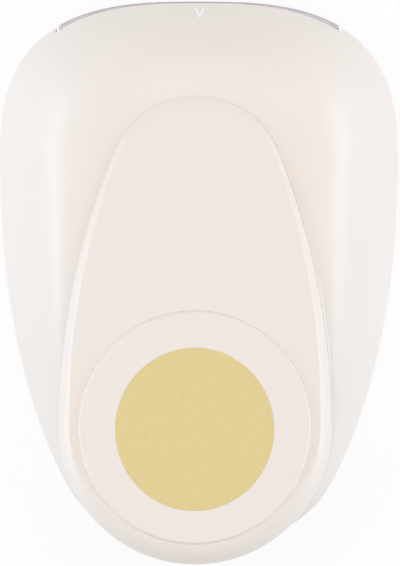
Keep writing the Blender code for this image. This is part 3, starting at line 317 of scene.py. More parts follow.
def egg_half_width(y, inset=0.0):
    """Half width of the housing at y, for its outline moved in by inset."""
    if y >= EGG_WAIST_Y:
        share = (y - EGG_WAIST_Y) / (EGG_FRONT_REACH - inset)
        power = EGG_FRONT_POWER
    else:
        share = (EGG_WAIST_Y - y) / (EGG_REAR_REACH - inset)
        power = EGG_REAR_POWER
    if share >= 1.0:
        return 0.0
    width = (BODY_HALF_WIDTH - inset) * (1.0 - share ** power) ** (1.0 / power)
    tail = tail_limit(y, inset)
    blend = max(TAIL_BLEND - abs(width - tail), 0.0) ** 2 / (4 * TAIL_BLEND)
    return max(min(width, tail) - blend, 0.0)


def lever_half_width(y, grow=0.0):
    """Half width of the lever's teardrop at y, for its outline moved out by grow."""
    nose_y = LEVER_NOSE_Y - LEVER_NOSE_RADIUS
    to_nose = LEVER_SIDE_RADIUS - LEVER_NOSE_RADIUS
    to_end = LEVER_SIDE_RADIUS - LEVER_END_RADIUS
    apart = nose_y - LEVER_END_Y
    side_y = (to_end ** 2 - to_nose ** 2 + nose_y ** 2 - LEVER_END_Y ** 2) / (2 * apart)
    side_x = math.sqrt(to_nose ** 2 - (nose_y - side_y) ** 2)
    nose_joint = nose_y + (nose_y - side_y) / to_nose * (LEVER_NOSE_RADIUS + grow)
    end_joint = LEVER_END_Y + (LEVER_END_Y - side_y) / to_end * (LEVER_END_RADIUS + grow)
    if y > nose_joint:
        return math.sqrt(max((LEVER_NOSE_RADIUS + grow) ** 2 - (y - nose_y) ** 2, 0.0))
    if y < end_joint:
        return math.sqrt(max((LEVER_END_RADIUS + grow) ** 2 - (y - LEVER_END_Y) ** 2, 0.0))
    return math.sqrt((LEVER_SIDE_RADIUS + grow) ** 2 - (y - side_y) ** 2) - side_x


def cassette_half_width(y):
    """Half width of the die plate's body, which fits inside the housing."""
    to_end = min(y - CASSETTE_REAR_Y, FRONT_Y - y)
    half = CASSETTE_HALF_WIDTH
    if to_end < CASSETTE_CORNER:
        left = CASSETTE_CORNER ** 2 - (CASSETTE_CORNER - to_end) ** 2
        half = CASSETTE_HALF_WIDTH - CASSETTE_CORNER + math.sqrt(max(left, 0.0))
    return min(half, egg_half_width(y, CASSETTE_INSET))


def die_half_width(y):
    """Half width of the die plate, as wide as its lip right to the front."""
    if y < DIE_Y:
        return cassette_half_width(y)
    return max(cassette_half_width(y), LIP_HALF_WIDTH)


def egg_front_y(x):
    """Front of the housing's outline at x."""
    share = abs(x) / BODY_HALF_WIDTH
    return EGG_WAIST_Y + EGG_FRONT_REACH * (1.0 - share ** EGG_FRONT_POWER) ** (1.0 / EGG_FRONT_POWER)


def mouth_front_y(x):
    """Front of the wall over the paper slot at x, set back a little more towards the slot's ends."""
    share = (abs(x) / MOUTH_HALF_WIDTH) ** MOUTH_RECESS_POWER
    return egg_front_y(x) - MOUTH_RECESS_MIDDLE - (MOUTH_RECESS_END - MOUTH_RECESS_MIDDLE) * share


def front_line(half_width, front_y):
    """Points along the front from right to left, as far forward as a formula says."""
    line = []
    for step in range(LIP_STEPS + 1):
        x = half_width * (1.0 - 2 * step / LIP_STEPS)
        line.append((x, front_y(x)))
    return line


def ray(index, count):
    """Unit direction in plan of one ray of a full turn."""
    angle = math.tau * index / count
    return -math.sin(angle), math.cos(angle)


def last_inside(near, far, inside):
    """Place between two, found by halving, up to which a test holds."""
    for _ in range(SOLVE_STEPS):
        middle = (near + far) / 2
        if inside(middle):
            near = middle
        else:
            far = middle
    return near


def reach(index, count, centre_y, half_width):
    """How far along a ray from a centre on the middle line an outline lies."""
    across, along = ray(index, count)
    return last_inside(0.0, FRONT_Y - REAR_Y,
                       lambda distance: abs(across * distance) < half_width(centre_y + along * distance))


def quarter(step, steps, radius):
    """Way in and way down on a quarter round at one of its steps, from upright to level."""
    angle = math.pi / 2 * step / steps
    return radius * (1.0 - math.cos(angle)), radius * (1.0 - math.sin(angle))


def rolled(width, drop, lean, turn, share):
    """Way in and way down on a rolled edge, from its first lean at share 0 to its last at share 1."""
    angle = lean + (turn - lean) * share
    inset = width * (math.sin(turn) - math.sin(angle)) / (math.sin(turn) - math.sin(lean))
    return inset, drop * (math.cos(lean) - math.cos(angle)) / (math.cos(lean) - math.cos(turn))


def inset_outline(points, distance):
    """Closed outline, anticlockwise, moved in by a small distance."""
    moved = []
    for index, (x, y) in enumerate(points):
        before = points[index - 1]
        after = points[(index + 1) % len(points)]
        along_x = after[0] - before[0]
        along_y = after[1] - before[1]
        length = math.hypot(along_x, along_y)
        moved.append((x - along_y / length * distance, y + along_x / length * distance))
    return moved


# Modelling by hand

def activate(piece):
    """Make one piece the only selected and active one."""
    bpy.ops.object.select_all(action="DESELECT")
    bpy.context.view_layer.objects.active = piece
    piece.select_set(True)


def settled(name):
    """Name the piece just added, and bring its origin to the frame's."""
    piece = bpy.context.object
    piece.name = name
    bpy.ops.object.transform_apply(location=True, rotation=True, scale=True)
    return piece


def copied(model, place, turn=0.0):
    """Copy of a model with its own mesh, tipped about its X axis and set in its place."""
    activate(model)
    bpy.ops.object.duplicate()
    copy = bpy.context.object
    copy.rotation_euler = (turn, 0.0, 0.0)
    copy.location = place
    bpy.ops.object.transform_apply(location=True, rotation=True, scale=True)
    return copy


def face_outwards():
    """Turn every face of the piece that is being edited outwards."""
    bpy.ops.mesh.select_all(action="SELECT")
    bpy.ops.mesh.normals_make_consistent(inside=False)


def set_loop(piece, loop, number):
    """Move the selected loop's points to their places, by the spoke that each stands on."""
    skin = bmesh.from_edit_mesh(piece.data)
    spoke = skin.verts.layers.int["spoke"]
    turn = skin.verts.layers.int["turn"]
    for vert in skin.verts:
        if vert.select:
            vert.co = loop[vert[spoke]]
            vert[turn] = number
    bmesh.update_edit_mesh(piece.data)


def close_loop(piece, number):
    """Fill one loop of a pulled shell with a face."""
    bpy.ops.mesh.select_all(action="DESELECT")
    skin = bmesh.from_edit_mesh(piece.data)
    turn = skin.verts.layers.int["turn"]
    for vert in skin.verts:
        vert.select_set(vert[turn] == number)
    skin.select_flush(True)
    bmesh.update_edit_mesh(piece.data)
    bpy.ops.mesh.edge_face_add()


def pulled_shell(name, loops, closed=False):
    """Closed shell pulled from a circle, with one extrude for each loop of points."""
    bpy.ops.object.select_all(action="DESELECT")
    bpy.ops.mesh.primitive_circle_add(vertices=len(loops[0]), radius=BODY_HALF_WIDTH)
    piece = bpy.context.object
    piece.name = name
    bpy.ops.object.mode_set(mode="EDIT")
    bpy.ops.mesh.select_mode(type="VERT")
    skin = bmesh.from_edit_mesh(piece.data)
    skin.verts.layers.int.new("spoke")
    skin.verts.layers.int.new("turn")
    spoke = skin.verts.layers.int["spoke"]
    for place, vert in enumerate(skin.verts):
        vert[spoke] = place
    bmesh.update_edit_mesh(piece.data)
    bpy.ops.mesh.select_all(action="SELECT")
    set_loop(piece, loops[0], 0)
    for number, loop in enumerate(loops[1:], 1):
        bpy.ops.mesh.extrude_region_move()
        set_loop(piece, loop, number)
    if closed:
        bpy.ops.mesh.extrude_region_move()
        set_loop(piece, loops[0], len(loops))
        bpy.ops.mesh.select_all(action="SELECT")
        bpy.ops.mesh.remove_doubles(threshold=WELD)
    else:
        close_loop(piece, 0)
        close_loop(piece, len(loops) - 1)
    face_outwards()
    bpy.ops.mesh.vert_connect_nonplanar(angle_limit=math.radians(BENT_DEGREES))
    bpy.ops.object.mode_set(mode="OBJECT")
    for layer in ("spoke", "turn"):
        piece.data.attributes.remove(piece.data.attributes[layer])
    return piece


def spun(name, profile, place, steps=SPUN_STEPS):
    """Solid of revolution about an upright axis, from a profile of (radius, height) points."""
    bpy.ops.object.select_all(action="DESELECT")
    bpy.ops.mesh.primitive_circle_add(vertices=len(profile), radius=BOSS_RADIUS)
    piece = bpy.context.object
    piece.name = name
    bpy.ops.object.mode_set(mode="EDIT")
    skin = bmesh.from_edit_mesh(piece.data)
    for vert, (radius, height) in zip(skin.verts, profile):
        vert.co = (place[0] + radius, place[1], place[2] + height)
    bmesh.update_edit_mesh(piece.data)
    bpy.ops.mesh.select_all(action="SELECT")
    bpy.ops.mesh.spin(steps=steps, angle=math.tau, center=place, axis=(0.0, 0.0, 1.0))
    bpy.ops.mesh.select_all(action="SELECT")
    bpy.ops.mesh.remove_doubles(threshold=WELD)
    bpy.ops.mesh.delete_loose()
    face_outwards()
    bpy.ops.object.mode_set(mode="OBJECT")
    return piece


def cylinder(name, radius, low, high, x, y, points=SPUN_STEPS):
    """Upright round bar between two heights."""
    bpy.ops.object.select_all(action="DESELECT")
    middle = (x, y, (low + high) / 2)
    bpy.ops.mesh.primitive_cylinder_add(vertices=points, radius=radius, depth=high - low, location=middle)
    return settled(name)


def block(name, low, high):
    """Upright box between two corners."""
    bpy.ops.object.select_all(action="DESELECT")
    middle = [(a + b) / 2 for a, b in zip(low, high)]
    size = [b - a for a, b in zip(low, high)]
    bpy.ops.mesh.primitive_cube_add(size=1.0, location=middle, scale=size)
    return settled(name)


def combine(piece, others, operation):
    """Join, cut or trim a piece with others, and keep the result."""
    for other in others:
        modifier = piece.modifiers.new(operation.lower(), "BOOLEAN")
        modifier.operation = operation
        modifier.solver = "EXACT"
        modifier.object = other
        activate(piece)
        bpy.ops.object.modifier_apply(modifier=modifier.name)
        bpy.data.objects.remove(other)
    return piece


def screw_room(x, y, low, seat, high):
    """Cutter for a screw's head up to its seat, and for the shank above it."""
    profile = [(0.0, low), (HEAD_ROOM, low), (HEAD_ROOM, seat)]
    profile += [(SHANK_ROOM, seat), (SHANK_ROOM, high), (0.0, high)]
    return spun("screw_room", profile, (x, y, 0.0))


def dress(piece, name, material, body, slot, *nodes):
    """Name and shade a finished piece, and let it stand for its nodes on their body."""
    activate(piece)
    piece.name = name
    piece.data.name = name
    piece.data.materials.clear()
    piece.data.materials.append(material)
    bpy.ops.object.shade_smooth_by_angle(angle=math.radians(SMOOTH_DEGREES))
    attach(piece, body)
    if nodes:
        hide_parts(*nodes)
    return piece


# Housing

def edge_height(y):
    """Height of the housing's edge round the lever, high at the front and low at the back."""
    share = min(max((EDGE_FALL_Y - y) / EDGE_FALL_LENGTH, 0.0), 1.0)
    return EDGE_FRONT_HEIGHT + (EDGE_REAR_HEIGHT - EDGE_FRONT_HEIGHT) * ease(share ** EDGE_FALL_POWER)


def land_height(y):
    """Height of the upright rim at y, which rises over the paper slot at the front."""
    share = ease((y - LAND_RISE_Y) / (CASSETTE_FRONT_Y - LAND_RISE_Y))
    return LAND_LOW_HEIGHT + (LAND_FRONT_HEIGHT - LAND_LOW_HEIGHT) * share


def flank_power(y):
    """How domed the flank is at y: round at the front, nearly straight at the back."""
    share = ease((y - FLANK_REAR_Y) / (FLANK_FRONT_Y - FLANK_REAR_Y))
    return FLANK_REAR_POWER + (FLANK_FRONT_POWER - FLANK_REAR_POWER) * share


def bay_gap(y):
    """Gap round the lever at y: tight where the lever rests in the bay, wider where it hangs over."""
    share = ease((BAY_GAP_GROWS_Y - y) / BAY_GAP_LENGTH)
    return BAY_GAP + (BAY_GAP_REAR - BAY_GAP) * share


def on_ray(index, distance, z):
    """Point in space on a ray of the housing."""
    across, along = ray(index, RAYS)
    return across * distance, RAY_CENTRE_Y + along * distance, z


def ray_facts(index):
    """Rim and bay edge on one ray of the housing, their heights, and how domed it is between."""
    rim = reach(index, RAYS, RAY_CENTRE_Y, egg_half_width)
    by_lever = reach(index, RAYS, RAY_CENTRE_Y, lambda y: lever_half_width(y, bay_gap(y)))
    by_rim = reach(index, RAYS, RAY_CENTRE_Y, lambda y: egg_half_width(y, BAY_RIM))
    blend = max(BAY_BLEND - abs(by_lever - by_rim), 0.0) ** 2 / (4 * BAY_BLEND)
    opening = min(by_lever, by_rim) - blend
    rim_y = on_ray(index, rim, 0.0)[1]
    edge_y = on_ray(index, opening, 0.0)[1]
    return rim, opening, land_height(rim_y), edge_height(edge_y), flank_power(edge_y)


def flank_height(low_z, edge_z, power, share):
    """Height on the domed flank, from the rim at share 0 to the bay's edge at share 1."""
    return low_z + (edge_z - low_z) * (1.0 - (1.0 - share) ** power)


def corner_rise(y):
    """Height of the soft fillet between flank and lever, none at the nose and at the tail."""
    by_nose = ease((CORNER_FRONT_Y - y) / CORNER_FRONT_FADE)
    by_tail = ease((y - CORNER_REAR_Y) / CORNER_REAR_FADE)
    return CORNER_RISE * by_nose * by_tail


def lifted(index, distance, z, share):
    """Point on a ray of the housing, raised by a share of the soft fillet there."""
    x, y, _ = on_ray(index, distance, z)
    return x, y, z + corner_rise(y) * share


def crowded(step, steps):
    """Share of the flank at one of its loops, which crowd towards the rim."""
    return (step / steps) ** FLANK_CROWDING


def corner_loop(facts, share):
    """One loop of the soft fillet, from the flank at share 0 to the bay's edge at share 1."""
    room_share = (1.0 - crowded(FLANK_STEPS - 1, FLANK_STEPS)) * CORNER_REACH_SHARE
    loop = []
    for index, (rim, opening, low_z, edge_z, power) in enumerate(facts):
        inner = opening + EDGE_ROUND
        width = min(CORNER_REACH, (rim - inner) * room_share)
        distance = inner + width * (1.0 - share)
        z = flank_height(low_z, edge_z, power, (rim - distance) / (rim - inner))
        loop.append(lifted(index, distance, z, share * share))
    return loop


def flank_loop(facts, depth_share, share):
    """One loop of the flank, at a share of the wall's thickness in from the outside."""
    depth = HOUSING_WALL * depth_share
    loop = []
    for index, (rim, opening, low_z, edge_z, power) in enumerate(facts):
        outer = rim - min(depth, (rim - opening) * depth_share / 2)
        inner = opening + EDGE_ROUND * (1.0 - depth_share)
        distance = outer + (inner - outer) * share
        loop.append(on_ray(index, distance, flank_height(low_z, edge_z - depth, power, share)))
    return loop


def foot_loop(facts, depth_share, inward, z):
    """Loop below the flank, drawn in from the rim."""
    return [on_ray(index, math.hypot(x, y - RAY_CENTRE_Y) - inward, z)
            for index, (x, y, _) in enumerate(flank_loop(facts, depth_share, 0.0))]


def make_housing_shell(facts):
    """Outer skin of the housing: a domed ring round the lever's bay, with rounded edges."""
    loops = []
    for step in range(ROUND_STEPS):
        up, inward = quarter(step, ROUND_STEPS, FOOT_ROUND)
        loops.append(foot_loop(facts, 0.0, inward, DIE_BOTTOM + up))
    loops.append(foot_loop(facts, 0.0, 0.0, DIE_BOTTOM + FOOT_ROUND))
    for step in range(FLANK_STEPS):
        loops.append(flank_loop(facts, 0.0, crowded(step, FLANK_STEPS)))
    for step in range(ROUND_STEPS + 1):
        loops.append(corner_loop(facts, step / ROUND_STEPS))
    for step in range(1, EDGE_STEPS + 1):
        down, outward = quarter(step, EDGE_STEPS, EDGE_ROUND)
        loops.append([lifted(index, opening + outward, edge_z - down, 1.0)
                      for index, (_, opening, _, edge_z, _) in enumerate(facts)])
    for step in range(INNER_STEPS, -1, -1):
        loops.append(flank_loop(facts, 1.0, crowded(step, INNER_STEPS)))
    loops.append(foot_loop(facts, 1.0, 0.0, DIE_BOTTOM))
    return pulled_shell("housing_shell", loops, closed=True)


def make_housing_limit(facts):
    """Solid that fills the housing out to the middle of its wall."""
    loops = [foot_loop(facts, 0.5, 0.0, 0.0)]
    for step in range(INNER_STEPS + 1):
        loops.append(flank_loop(facts, 0.5, crowded(step, INNER_STEPS)))
    loops.append([(x, y, FRONT_Y) for x, y, _ in loops[-1]])
    return pulled_shell("housing_limit", loops)


def make_bay():
    """Wall and floor of the lever's bay, on rays half way between the skin's, with a round corner."""
    loops = [[] for _ in range(3 + ROUND_STEPS)]
    for step in range(RAYS):
        index = step + 0.5
        _, opening, _, edge_z, _ = ray_facts(index)
        inner = opening + BAY_STEP
        top = edge_z - HOUSING_WALL / 2
        loops[0].append(on_ray(index, inner + BAY_WALL, DECK_BOTTOM))
        loops[1].append(on_ray(index, inner + BAY_WALL, top))
        loops[2].append(on_ray(index, inner, top))
        corner = min(BAY_CORNER, (top - DECK_FLOOR) * BAY_CORNER_SHARE)
        for turn in range(ROUND_STEPS):
            inward, up = quarter(turn, ROUND_STEPS - 1, corner)
            loops[3 + turn].append(on_ray(index, inner - inward, DECK_FLOOR + up))
    bay = pulled_shell("bay", loops)
    front = block("bay_front", (-FRONT_Y, DECK_FRONT_Y, 0.0), (FRONT_Y, FRONT_Y, FRONT_Y))
    return combine(bay, [front], "DIFFERENCE")


def front_wall_y(x, z):
    """Where the outside of the front wall lies at a place across and a height."""
    def inside(y):
        index = math.atan2(-x, y - RAY_CENTRE_Y) / math.tau * RAYS
        rim, opening, low_z, edge_z, power = ray_facts(index)
        distance = math.hypot(x, y - RAY_CENTRE_Y)
        share = (rim - distance) / (rim - opening - EDGE_ROUND)
        return share > 0.0 and flank_height(low_z, edge_z, power, share) > z

    return last_inside(EGG_WAIST_Y, FRONT_Y, inside)


def make_mark(looks):
    """Raised white arrowhead on the front wall, which shows the middle of the cut; its white is a painted
    highlight for the light that its strokes catch.
    """
    inner = MARK_HALF_WIDTH - MARK_STROKE
    outline = [(-MARK_HALF_WIDTH, MARK_LOW), (-inner, MARK_LOW), (0.0, MARK_STROKE_HIGH),
               (inner, MARK_LOW), (MARK_HALF_WIDTH, MARK_LOW), (0.0, MARK_HIGH)]
    sunk = []
    proud = []
    for across, z in outline:
        x = MARK_X + across
        y = front_wall_y(x, z)
        share = (MARK_HIGH - z) / (MARK_HIGH - MARK_LOW)
        sunk.append((x, y - MARK_SUNK, z))
        proud.append((x, y + MARK_PROUD_HIGH + (MARK_PROUD_LOW - MARK_PROUD_HIGH) * share, z))
    mark = pulled_shell("mark_shell", [sunk, proud])
    return dress(mark, "middle_mark", looks["white"], "base", "shell_plastic")


def make_mouth_recess():
    """Cutter that sets the wall over the paper slot back from the housing's outline."""
    outline = [(-MOUTH_HALF_WIDTH, FRONT_Y + OVERRUN), (MOUTH_HALF_WIDTH, FRONT_Y + OVERRUN)]
    outline += front_line(MOUTH_HALF_WIDTH, mouth_front_y)
    heights = (DIE_BOTTOM - OVERRUN, MOUTH_RECESS_HIGH)
    return pulled_shell("mouth_recess", [[(x, y, z) for x, y in outline] for z in heights])


def make_housing(looks):
    """Housing with its bay, bosses and slot flange, cut for the paper slot."""
    facts = [ray_facts(index) for index in range(RAYS)]
    housing = make_housing_shell(facts)
    inner = make_bay()
    low = GUIDE_BOTTOM - SEAT_GAP
    flange_low = (-FLANGE_HALF_WIDTH, CASSETTE_FRONT_Y + SEAT_GAP, low)
    added = [block("slot_flange", flange_low, (FLANGE_HALF_WIDTH, FRONT_Y, low + FLANGE_HEIGHT))]
    foot = DIE_BOTTOM + BOSS_STEP
    for x, y in SIDE_BOSSES:
        added.append(cylinder("boss", BOSS_RADIUS, foot, GUIDE_TOP, x, y))
    for x, y in REAR_BOSSES:
        added.append(cylinder("boss", BOSS_RADIUS, foot, (DECK_BOTTOM + DECK_FLOOR) / 2, x, y))
    combine(inner, added, "UNION")
    combine(inner, [make_housing_limit(facts)], "INTERSECT")
    combine(housing, [inner], "UNION")
    mouth_low = (-MOUTH_HALF_WIDTH, DIE_Y, DIE_BOTTOM - OVERRUN)
    cutters = [block("mouth", mouth_low, (MOUTH_HALF_WIDTH, FRONT_Y + OVERRUN, GUIDE_BOTTOM))]
    for x, y in BASE_SCREWS:
        cutters.append(cylinder("screw_hole", BOSS_HOLE_RADIUS, DIE_BOTTOM - OVERRUN, BASE_SCREW_TOP, x, y))
    cutters.append(make_mouth_recess())
    combine(housing, cutters, "DIFFERENCE")
    return dress(housing, "housing_moulding", looks["ivory"], "base", "shell_plastic", "housing")


# Lever

def lever_top(y):
    """Height of the lever's top at y: steep at the nose, nearly level at the back."""
    share = min(max((LEVER_NOSE_Y - y) / LEVER_LENGTH, 0.0), 1.0)
    return LEVER_NOSE_HEIGHT + LEVER_RISE * (1.0 - (1.0 - share) ** LEVER_RISE_POWER)


def skirt_height(y):
    """Height of the lever's lower edge at y."""
    if y < SKIRT_LOW_Y:
        share = (SKIRT_LOW_Y - y) / (SKIRT_LOW_Y - REAR_Y)
        return SKIRT_LOW_HEIGHT + (SKIRT_REAR_HEIGHT - SKIRT_LOW_HEIGHT) * share
    share = ease((y - SKIRT_LOW_Y) / SKIRT_BLEND)
    return SKIRT_LOW_HEIGHT + (SKIRT_FRONT_HEIGHT - SKIRT_LOW_HEIGHT) * share


def band(y):
    """Width, drop, first and last lean of the lever's rounded upper edge at y.

    It rolls off softly at the nose, is a bright band that widens along the sides, and is
    round at the back.
    """
    forward = ease((y - BAND_START_Y) / (LEVER_NOSE_Y - BAND_START_Y))
    backward = ease((LEVER_END_Y - y) / LEVER_END_RADIUS)
    along = min(max((BAND_START_Y - y) / BAND_LENGTH, 0.0), 1.0)
    width = BAND_START + BAND_GROWTH * along
    drop = width * BAND_DROP_SHARE
    lean = BAND_LEAN_DEGREES * (1.0 - forward) * (1.0 - backward)
    turn = 90 + (NOSE_TURN_DEGREES - 90) * forward
    width += (NOSE_ROLL - width) * forward + (REAR_ROLL - width) * backward
    drop += (NOSE_DROP - drop) * forward + (REAR_ROLL - drop) * backward
    return width, drop, math.radians(lean), math.radians(turn)


def band_point(y, share):
    """Inset and drop on the lever's rounded edge, from the top at share 0 to the wall at share 1."""
    return rolled(*band(y), share)


def lever_loop(full_ys, inset_at, height_at):
    """Loop on the teardrop, with its inset and height worked out spoke by spoke."""
    loop = []
    for index, full_y in enumerate(full_ys):
        inset = inset_at(full_y)
        distance = reach(index, SPOKES, CAP_Y, lambda y: lever_half_width(y, -inset))
        across, along = ray(index, SPOKES)
        y = CAP_Y + along * distance
        loop.append((across * distance, y, height_at(y, full_y)))
    return loop


def round_loop(count, centre_y, half_width, half_length, height_at):
    """Round loop about a centre on the middle line, laid on a surface."""
    loop = []
    for index in range(count):
        across, along = ray(index, count)
        y = centre_y + along * half_length
        loop.append((across * half_width, y, height_at(y)))
    return loop


def seat_loop(radius, height_at):
    """Loop of the lever's cover about the pad's middle."""
    return round_loop(SPOKES, CAP_Y, radius, radius, height_at)


def blended(outer, inner, share, height_at):
    """Loop part of the way between two others, laid on a surface."""
    loop = []
    for (x, y, _), (inner_x, inner_y, _) in zip(outer, inner):
        near_y = y + (inner_y - y) * share
        loop.append((x + (inner_x - x) * share, near_y, height_at(near_y)))
    return loop


def lever_roof(y):
    """Height of the underside of the lever's top."""
    return lever_top(y) - LEVER_ROOF


def make_lever_cover(looks):
    """Moulded teardrop cover, hollow and open below, with a seat for the pad."""
    full_ys = []
    for index in range(SPOKES):
        distance = reach(index, SPOKES, CAP_Y, lever_half_width)
        full_ys.append(CAP_Y + ray(index, SPOKES)[1] * distance)

    def floor_height(y):
        return lever_top(y) - SEAT_DEPTH

    loops = [seat_loop(CAP_SEAT_RADIUS * share, floor_height) for share in SEAT_RINGS]
    loops.append(seat_loop(CAP_SEAT_RADIUS, floor_height))
    loops.append(seat_loop(CAP_SEAT_RADIUS, lambda y: lever_top(y) - SEAT_EDGE))
    seat_rim = seat_loop(CAP_SEAT_RADIUS + SEAT_EDGE, lever_top)
    support = lever_loop(full_ys, lambda y: band(y)[0] + BAND_SUPPORT, lambda y, full_y: lever_top(y))
    for step in range(ROOF_STEPS + 1):
        loops.append(blended(seat_rim, support, step / ROOF_STEPS, lever_top))
    for step in range(BAND_STEPS + 1):
        share = step / BAND_STEPS
        loops.append(lever_loop(full_ys, lambda y: band_point(y, share)[0],
                                lambda y, full_y: lever_top(y) - band_point(full_y, share)[1]))
    loops.append(lever_loop(full_ys, lambda y: SKIRT_DRAFT, lambda y, full_y: skirt_height(y) + FOOT_EDGE))
    for step in range(1, FOOT_STEPS + 1):
        inward, up = quarter(step, FOOT_STEPS, FOOT_EDGE)
        loops.append(lever_loop(full_ys, lambda y: SKIRT_DRAFT + inward,
                                lambda y, full_y: skirt_height(y) + up))
    loops.append(lever_loop(full_ys, lambda y: LEVER_WALL, lambda y, full_y: skirt_height(y)))
    for step in range(ROUND_STEPS):
        inward, down = quarter(step, ROUND_STEPS - 1, INNER_FILLET)
        loops.append(lever_loop(full_ys, lambda y: LEVER_WALL + inward,
                                lambda y, full_y: lever_roof(y) - down))
    pole = seat_loop(CAP_SEAT_RADIUS * SEAT_RINGS[0], lever_roof)
    roof_edge = loops[-1]
    for step in range(1, ROUND_STEPS):
        loops.append(blended(roof_edge, pole, step / ROUND_STEPS, lever_roof))
    loops.append(pole)
    cover = pulled_shell("lever_cover_shell", loops)
    posts = []
    holes = []
    for y in POST_YS:
        posts.append(cylinder("post", POST_RADIUS, POST_FOOT, lever_roof(y) + LEVER_ROOF / 2, 0.0, y))
        holes.append(cylinder("post_hole", POST_HOLE_RADIUS, POST_FOOT - OVERRUN, POST_HOLE_TOP, 0.0, y))
    combine(cover, posts, "UNION")
    combine(cover, holes, "DIFFERENCE")
    return dress(cover, "lever_moulding", looks["ivory"], "lever", "lever_plastic", "lever_cover")


def disc_loop(half_width, half_length, level, centre_y=DISC_Y):
    """Loop of a round plate at one height above the lever's top."""
    return round_loop(DISC_POINTS, centre_y, half_width, half_length, lambda y: lever_top(y) + level)


def make_pad_cap(looks):
    """Raised round pad with a rounded edge and a shallow seat for the gold disc."""
    low = CAP_PROUD - CAP_THICKNESS
    loops = [disc_loop(CAP_RADIUS * share, CAP_RADIUS * share, low, CAP_Y) for share in PAD_FOOT_RINGS]
    lean = math.radians(CAP_LEAN_DEGREES)
    turn = math.radians(CAP_TURN_DEGREES)
    for step in range(ROUND_STEPS, -1, -1):
        inset, down = rolled(CAP_EDGE, CAP_EDGE_DROP, lean, turn, step / ROUND_STEPS)
        radius = CAP_RADIUS - inset
        loops.append(disc_loop(radius, radius, CAP_PROUD - down, CAP_Y))
    half_width = DISC_HALF_WIDTH + DISC_GAP
    half_length = DISC_HALF_LENGTH + DISC_GAP
    for share in PAD_TOP_RINGS:
        grow = (CAP_RADIUS - CAP_EDGE - DISC_HALF_LENGTH) * (1.0 - share)
        centre_y = CAP_Y + (DISC_Y - CAP_Y) * share
        loops.append(disc_loop(half_width + grow, half_length + grow, CAP_PROUD, centre_y))
    loops.append(disc_loop(half_width + DISC_EDGE, half_length + DISC_EDGE, CAP_PROUD))
    loops.append(disc_loop(half_width, half_length, CAP_PROUD - DISC_EDGE))
    seat = CAP_PROUD - DISC_BELOW_CAP - DISC_THICKNESS - DISC_GAP
    for share in reversed(DISC_FOOT_RINGS):
        loops.append(disc_loop(half_width * share, half_length * share, seat))
    cap = pulled_shell("pad_cap_shell", loops)
    return dress(cap, "pad_moulding", looks["ivory"], "lever", "lever_plastic", "pad_cap")


def make_colour_disc(looks):
    """Thin gold disc set into the pad, with a soft edge."""
    high = CAP_PROUD - DISC_BELOW_CAP
    low = high - DISC_THICKNESS
    loops = [disc_loop(DISC_HALF_WIDTH * share, DISC_HALF_LENGTH * share, low) for share in DISC_FOOT_RINGS]
    for step in range(ROUND_STEPS):
        inset, down = quarter(step, ROUND_STEPS - 1, DISC_EDGE)
        loops.append(disc_loop(DISC_HALF_WIDTH - inset, DISC_HALF_LENGTH - inset, high - down))
    for share in DISC_TOP_RINGS:
        loops.append(disc_loop(DISC_HALF_WIDTH * share, DISC_HALF_LENGTH * share, high))
    disc = pulled_shell("colour_disc_shell", loops)
    return dress(disc, "gold_disc", looks["gold"], "lever", "gold_foil", "colour_disc")


# Cutting set and base

def make_die_plate(looks):
    """Cast die with rounded edges, its round cutting hole and the lip under the slot."""
    right = []
    for step in range(LIP_STEPS + 1):
        y = CASSETTE_REAR_Y + (CASSETTE_FRONT_Y - CASSETTE_REAR_Y) * ease(step / LIP_STEPS)
        right.append((die_half_width(y), y))
    lip = front_line(LIP_HALF_WIDTH, lambda x: egg_front_y(x) + LIP_PROUD)
    outline = right + lip + [(-x, y) for x, y in reversed(right)]
    loops = []
    steps = range(ROUND_STEPS)
    for turns, level, side in ((reversed(steps), DIE_BOTTOM, 1.0), (steps, DIE_TOP, -1.0)):
        for step in turns:
            inward, from_face = quarter(step, ROUND_STEPS - 1, LIP_ROUND)
            z = level + side * from_face
            loops.append([(x, y, z) for x, y in inset_outline(outline, inward)])
    die = pulled_shell("die_shell", loops)
    low = DIE_BOTTOM - OVERRUN
    cutters = [cylinder("die_hole", BORE_RADIUS, low, DIE_TOP + OVERRUN, 0.0, DIE_Y, DISC_POINTS)]
    for x, y in CASSETTE_SCREWS:
        cutters.append(screw_room(x, y, low, CASSETTE_SEAT, DIE_TOP + OVERRUN))
    combine(die, cutters, "DIFFERENCE")
    return dress(die, "die_casting", looks["zinc"], "base", "cast_zinc", "die_plate")


def make_base_cover(looks):
    """Flat floor plate with a soft lower edge, a hole under the die and six screw recesses."""
    outline = []
    for index in range(RAYS):
        distance = reach(index, RAYS, RAY_CENTRE_Y, lambda y: egg_half_width(y, BASE_INSET))
        outline.append(on_ray(index, distance, 0.0)[:2])
    loops = []
    for step in range(ROUND_STEPS + 1):
        up, inward = quarter(step, ROUND_STEPS, BASE_EDGE)
        loops.append([(x, y, up) for x, y in inset_outline(outline, inward)])
    loops.append([(x, y, BASE_TOP) for x, y in outline])
    base = pulled_shell("base_shell", loops)
    cutters = [cylinder("die_hole", BASE_HOLE_RADIUS, -OVERRUN, BASE_TOP + OVERRUN, 0.0, DIE_Y, DISC_POINTS)]
    for x, y in BASE_SCREWS:
        cutters.append(screw_room(x, y, -OVERRUN, BASE_SEAT, BASE_TOP + OVERRUN))
    combine(base, cutters, "DIFFERENCE")
    return dress(base, "base_moulding", looks["base"], "base", "base_plastic", "base_cover")


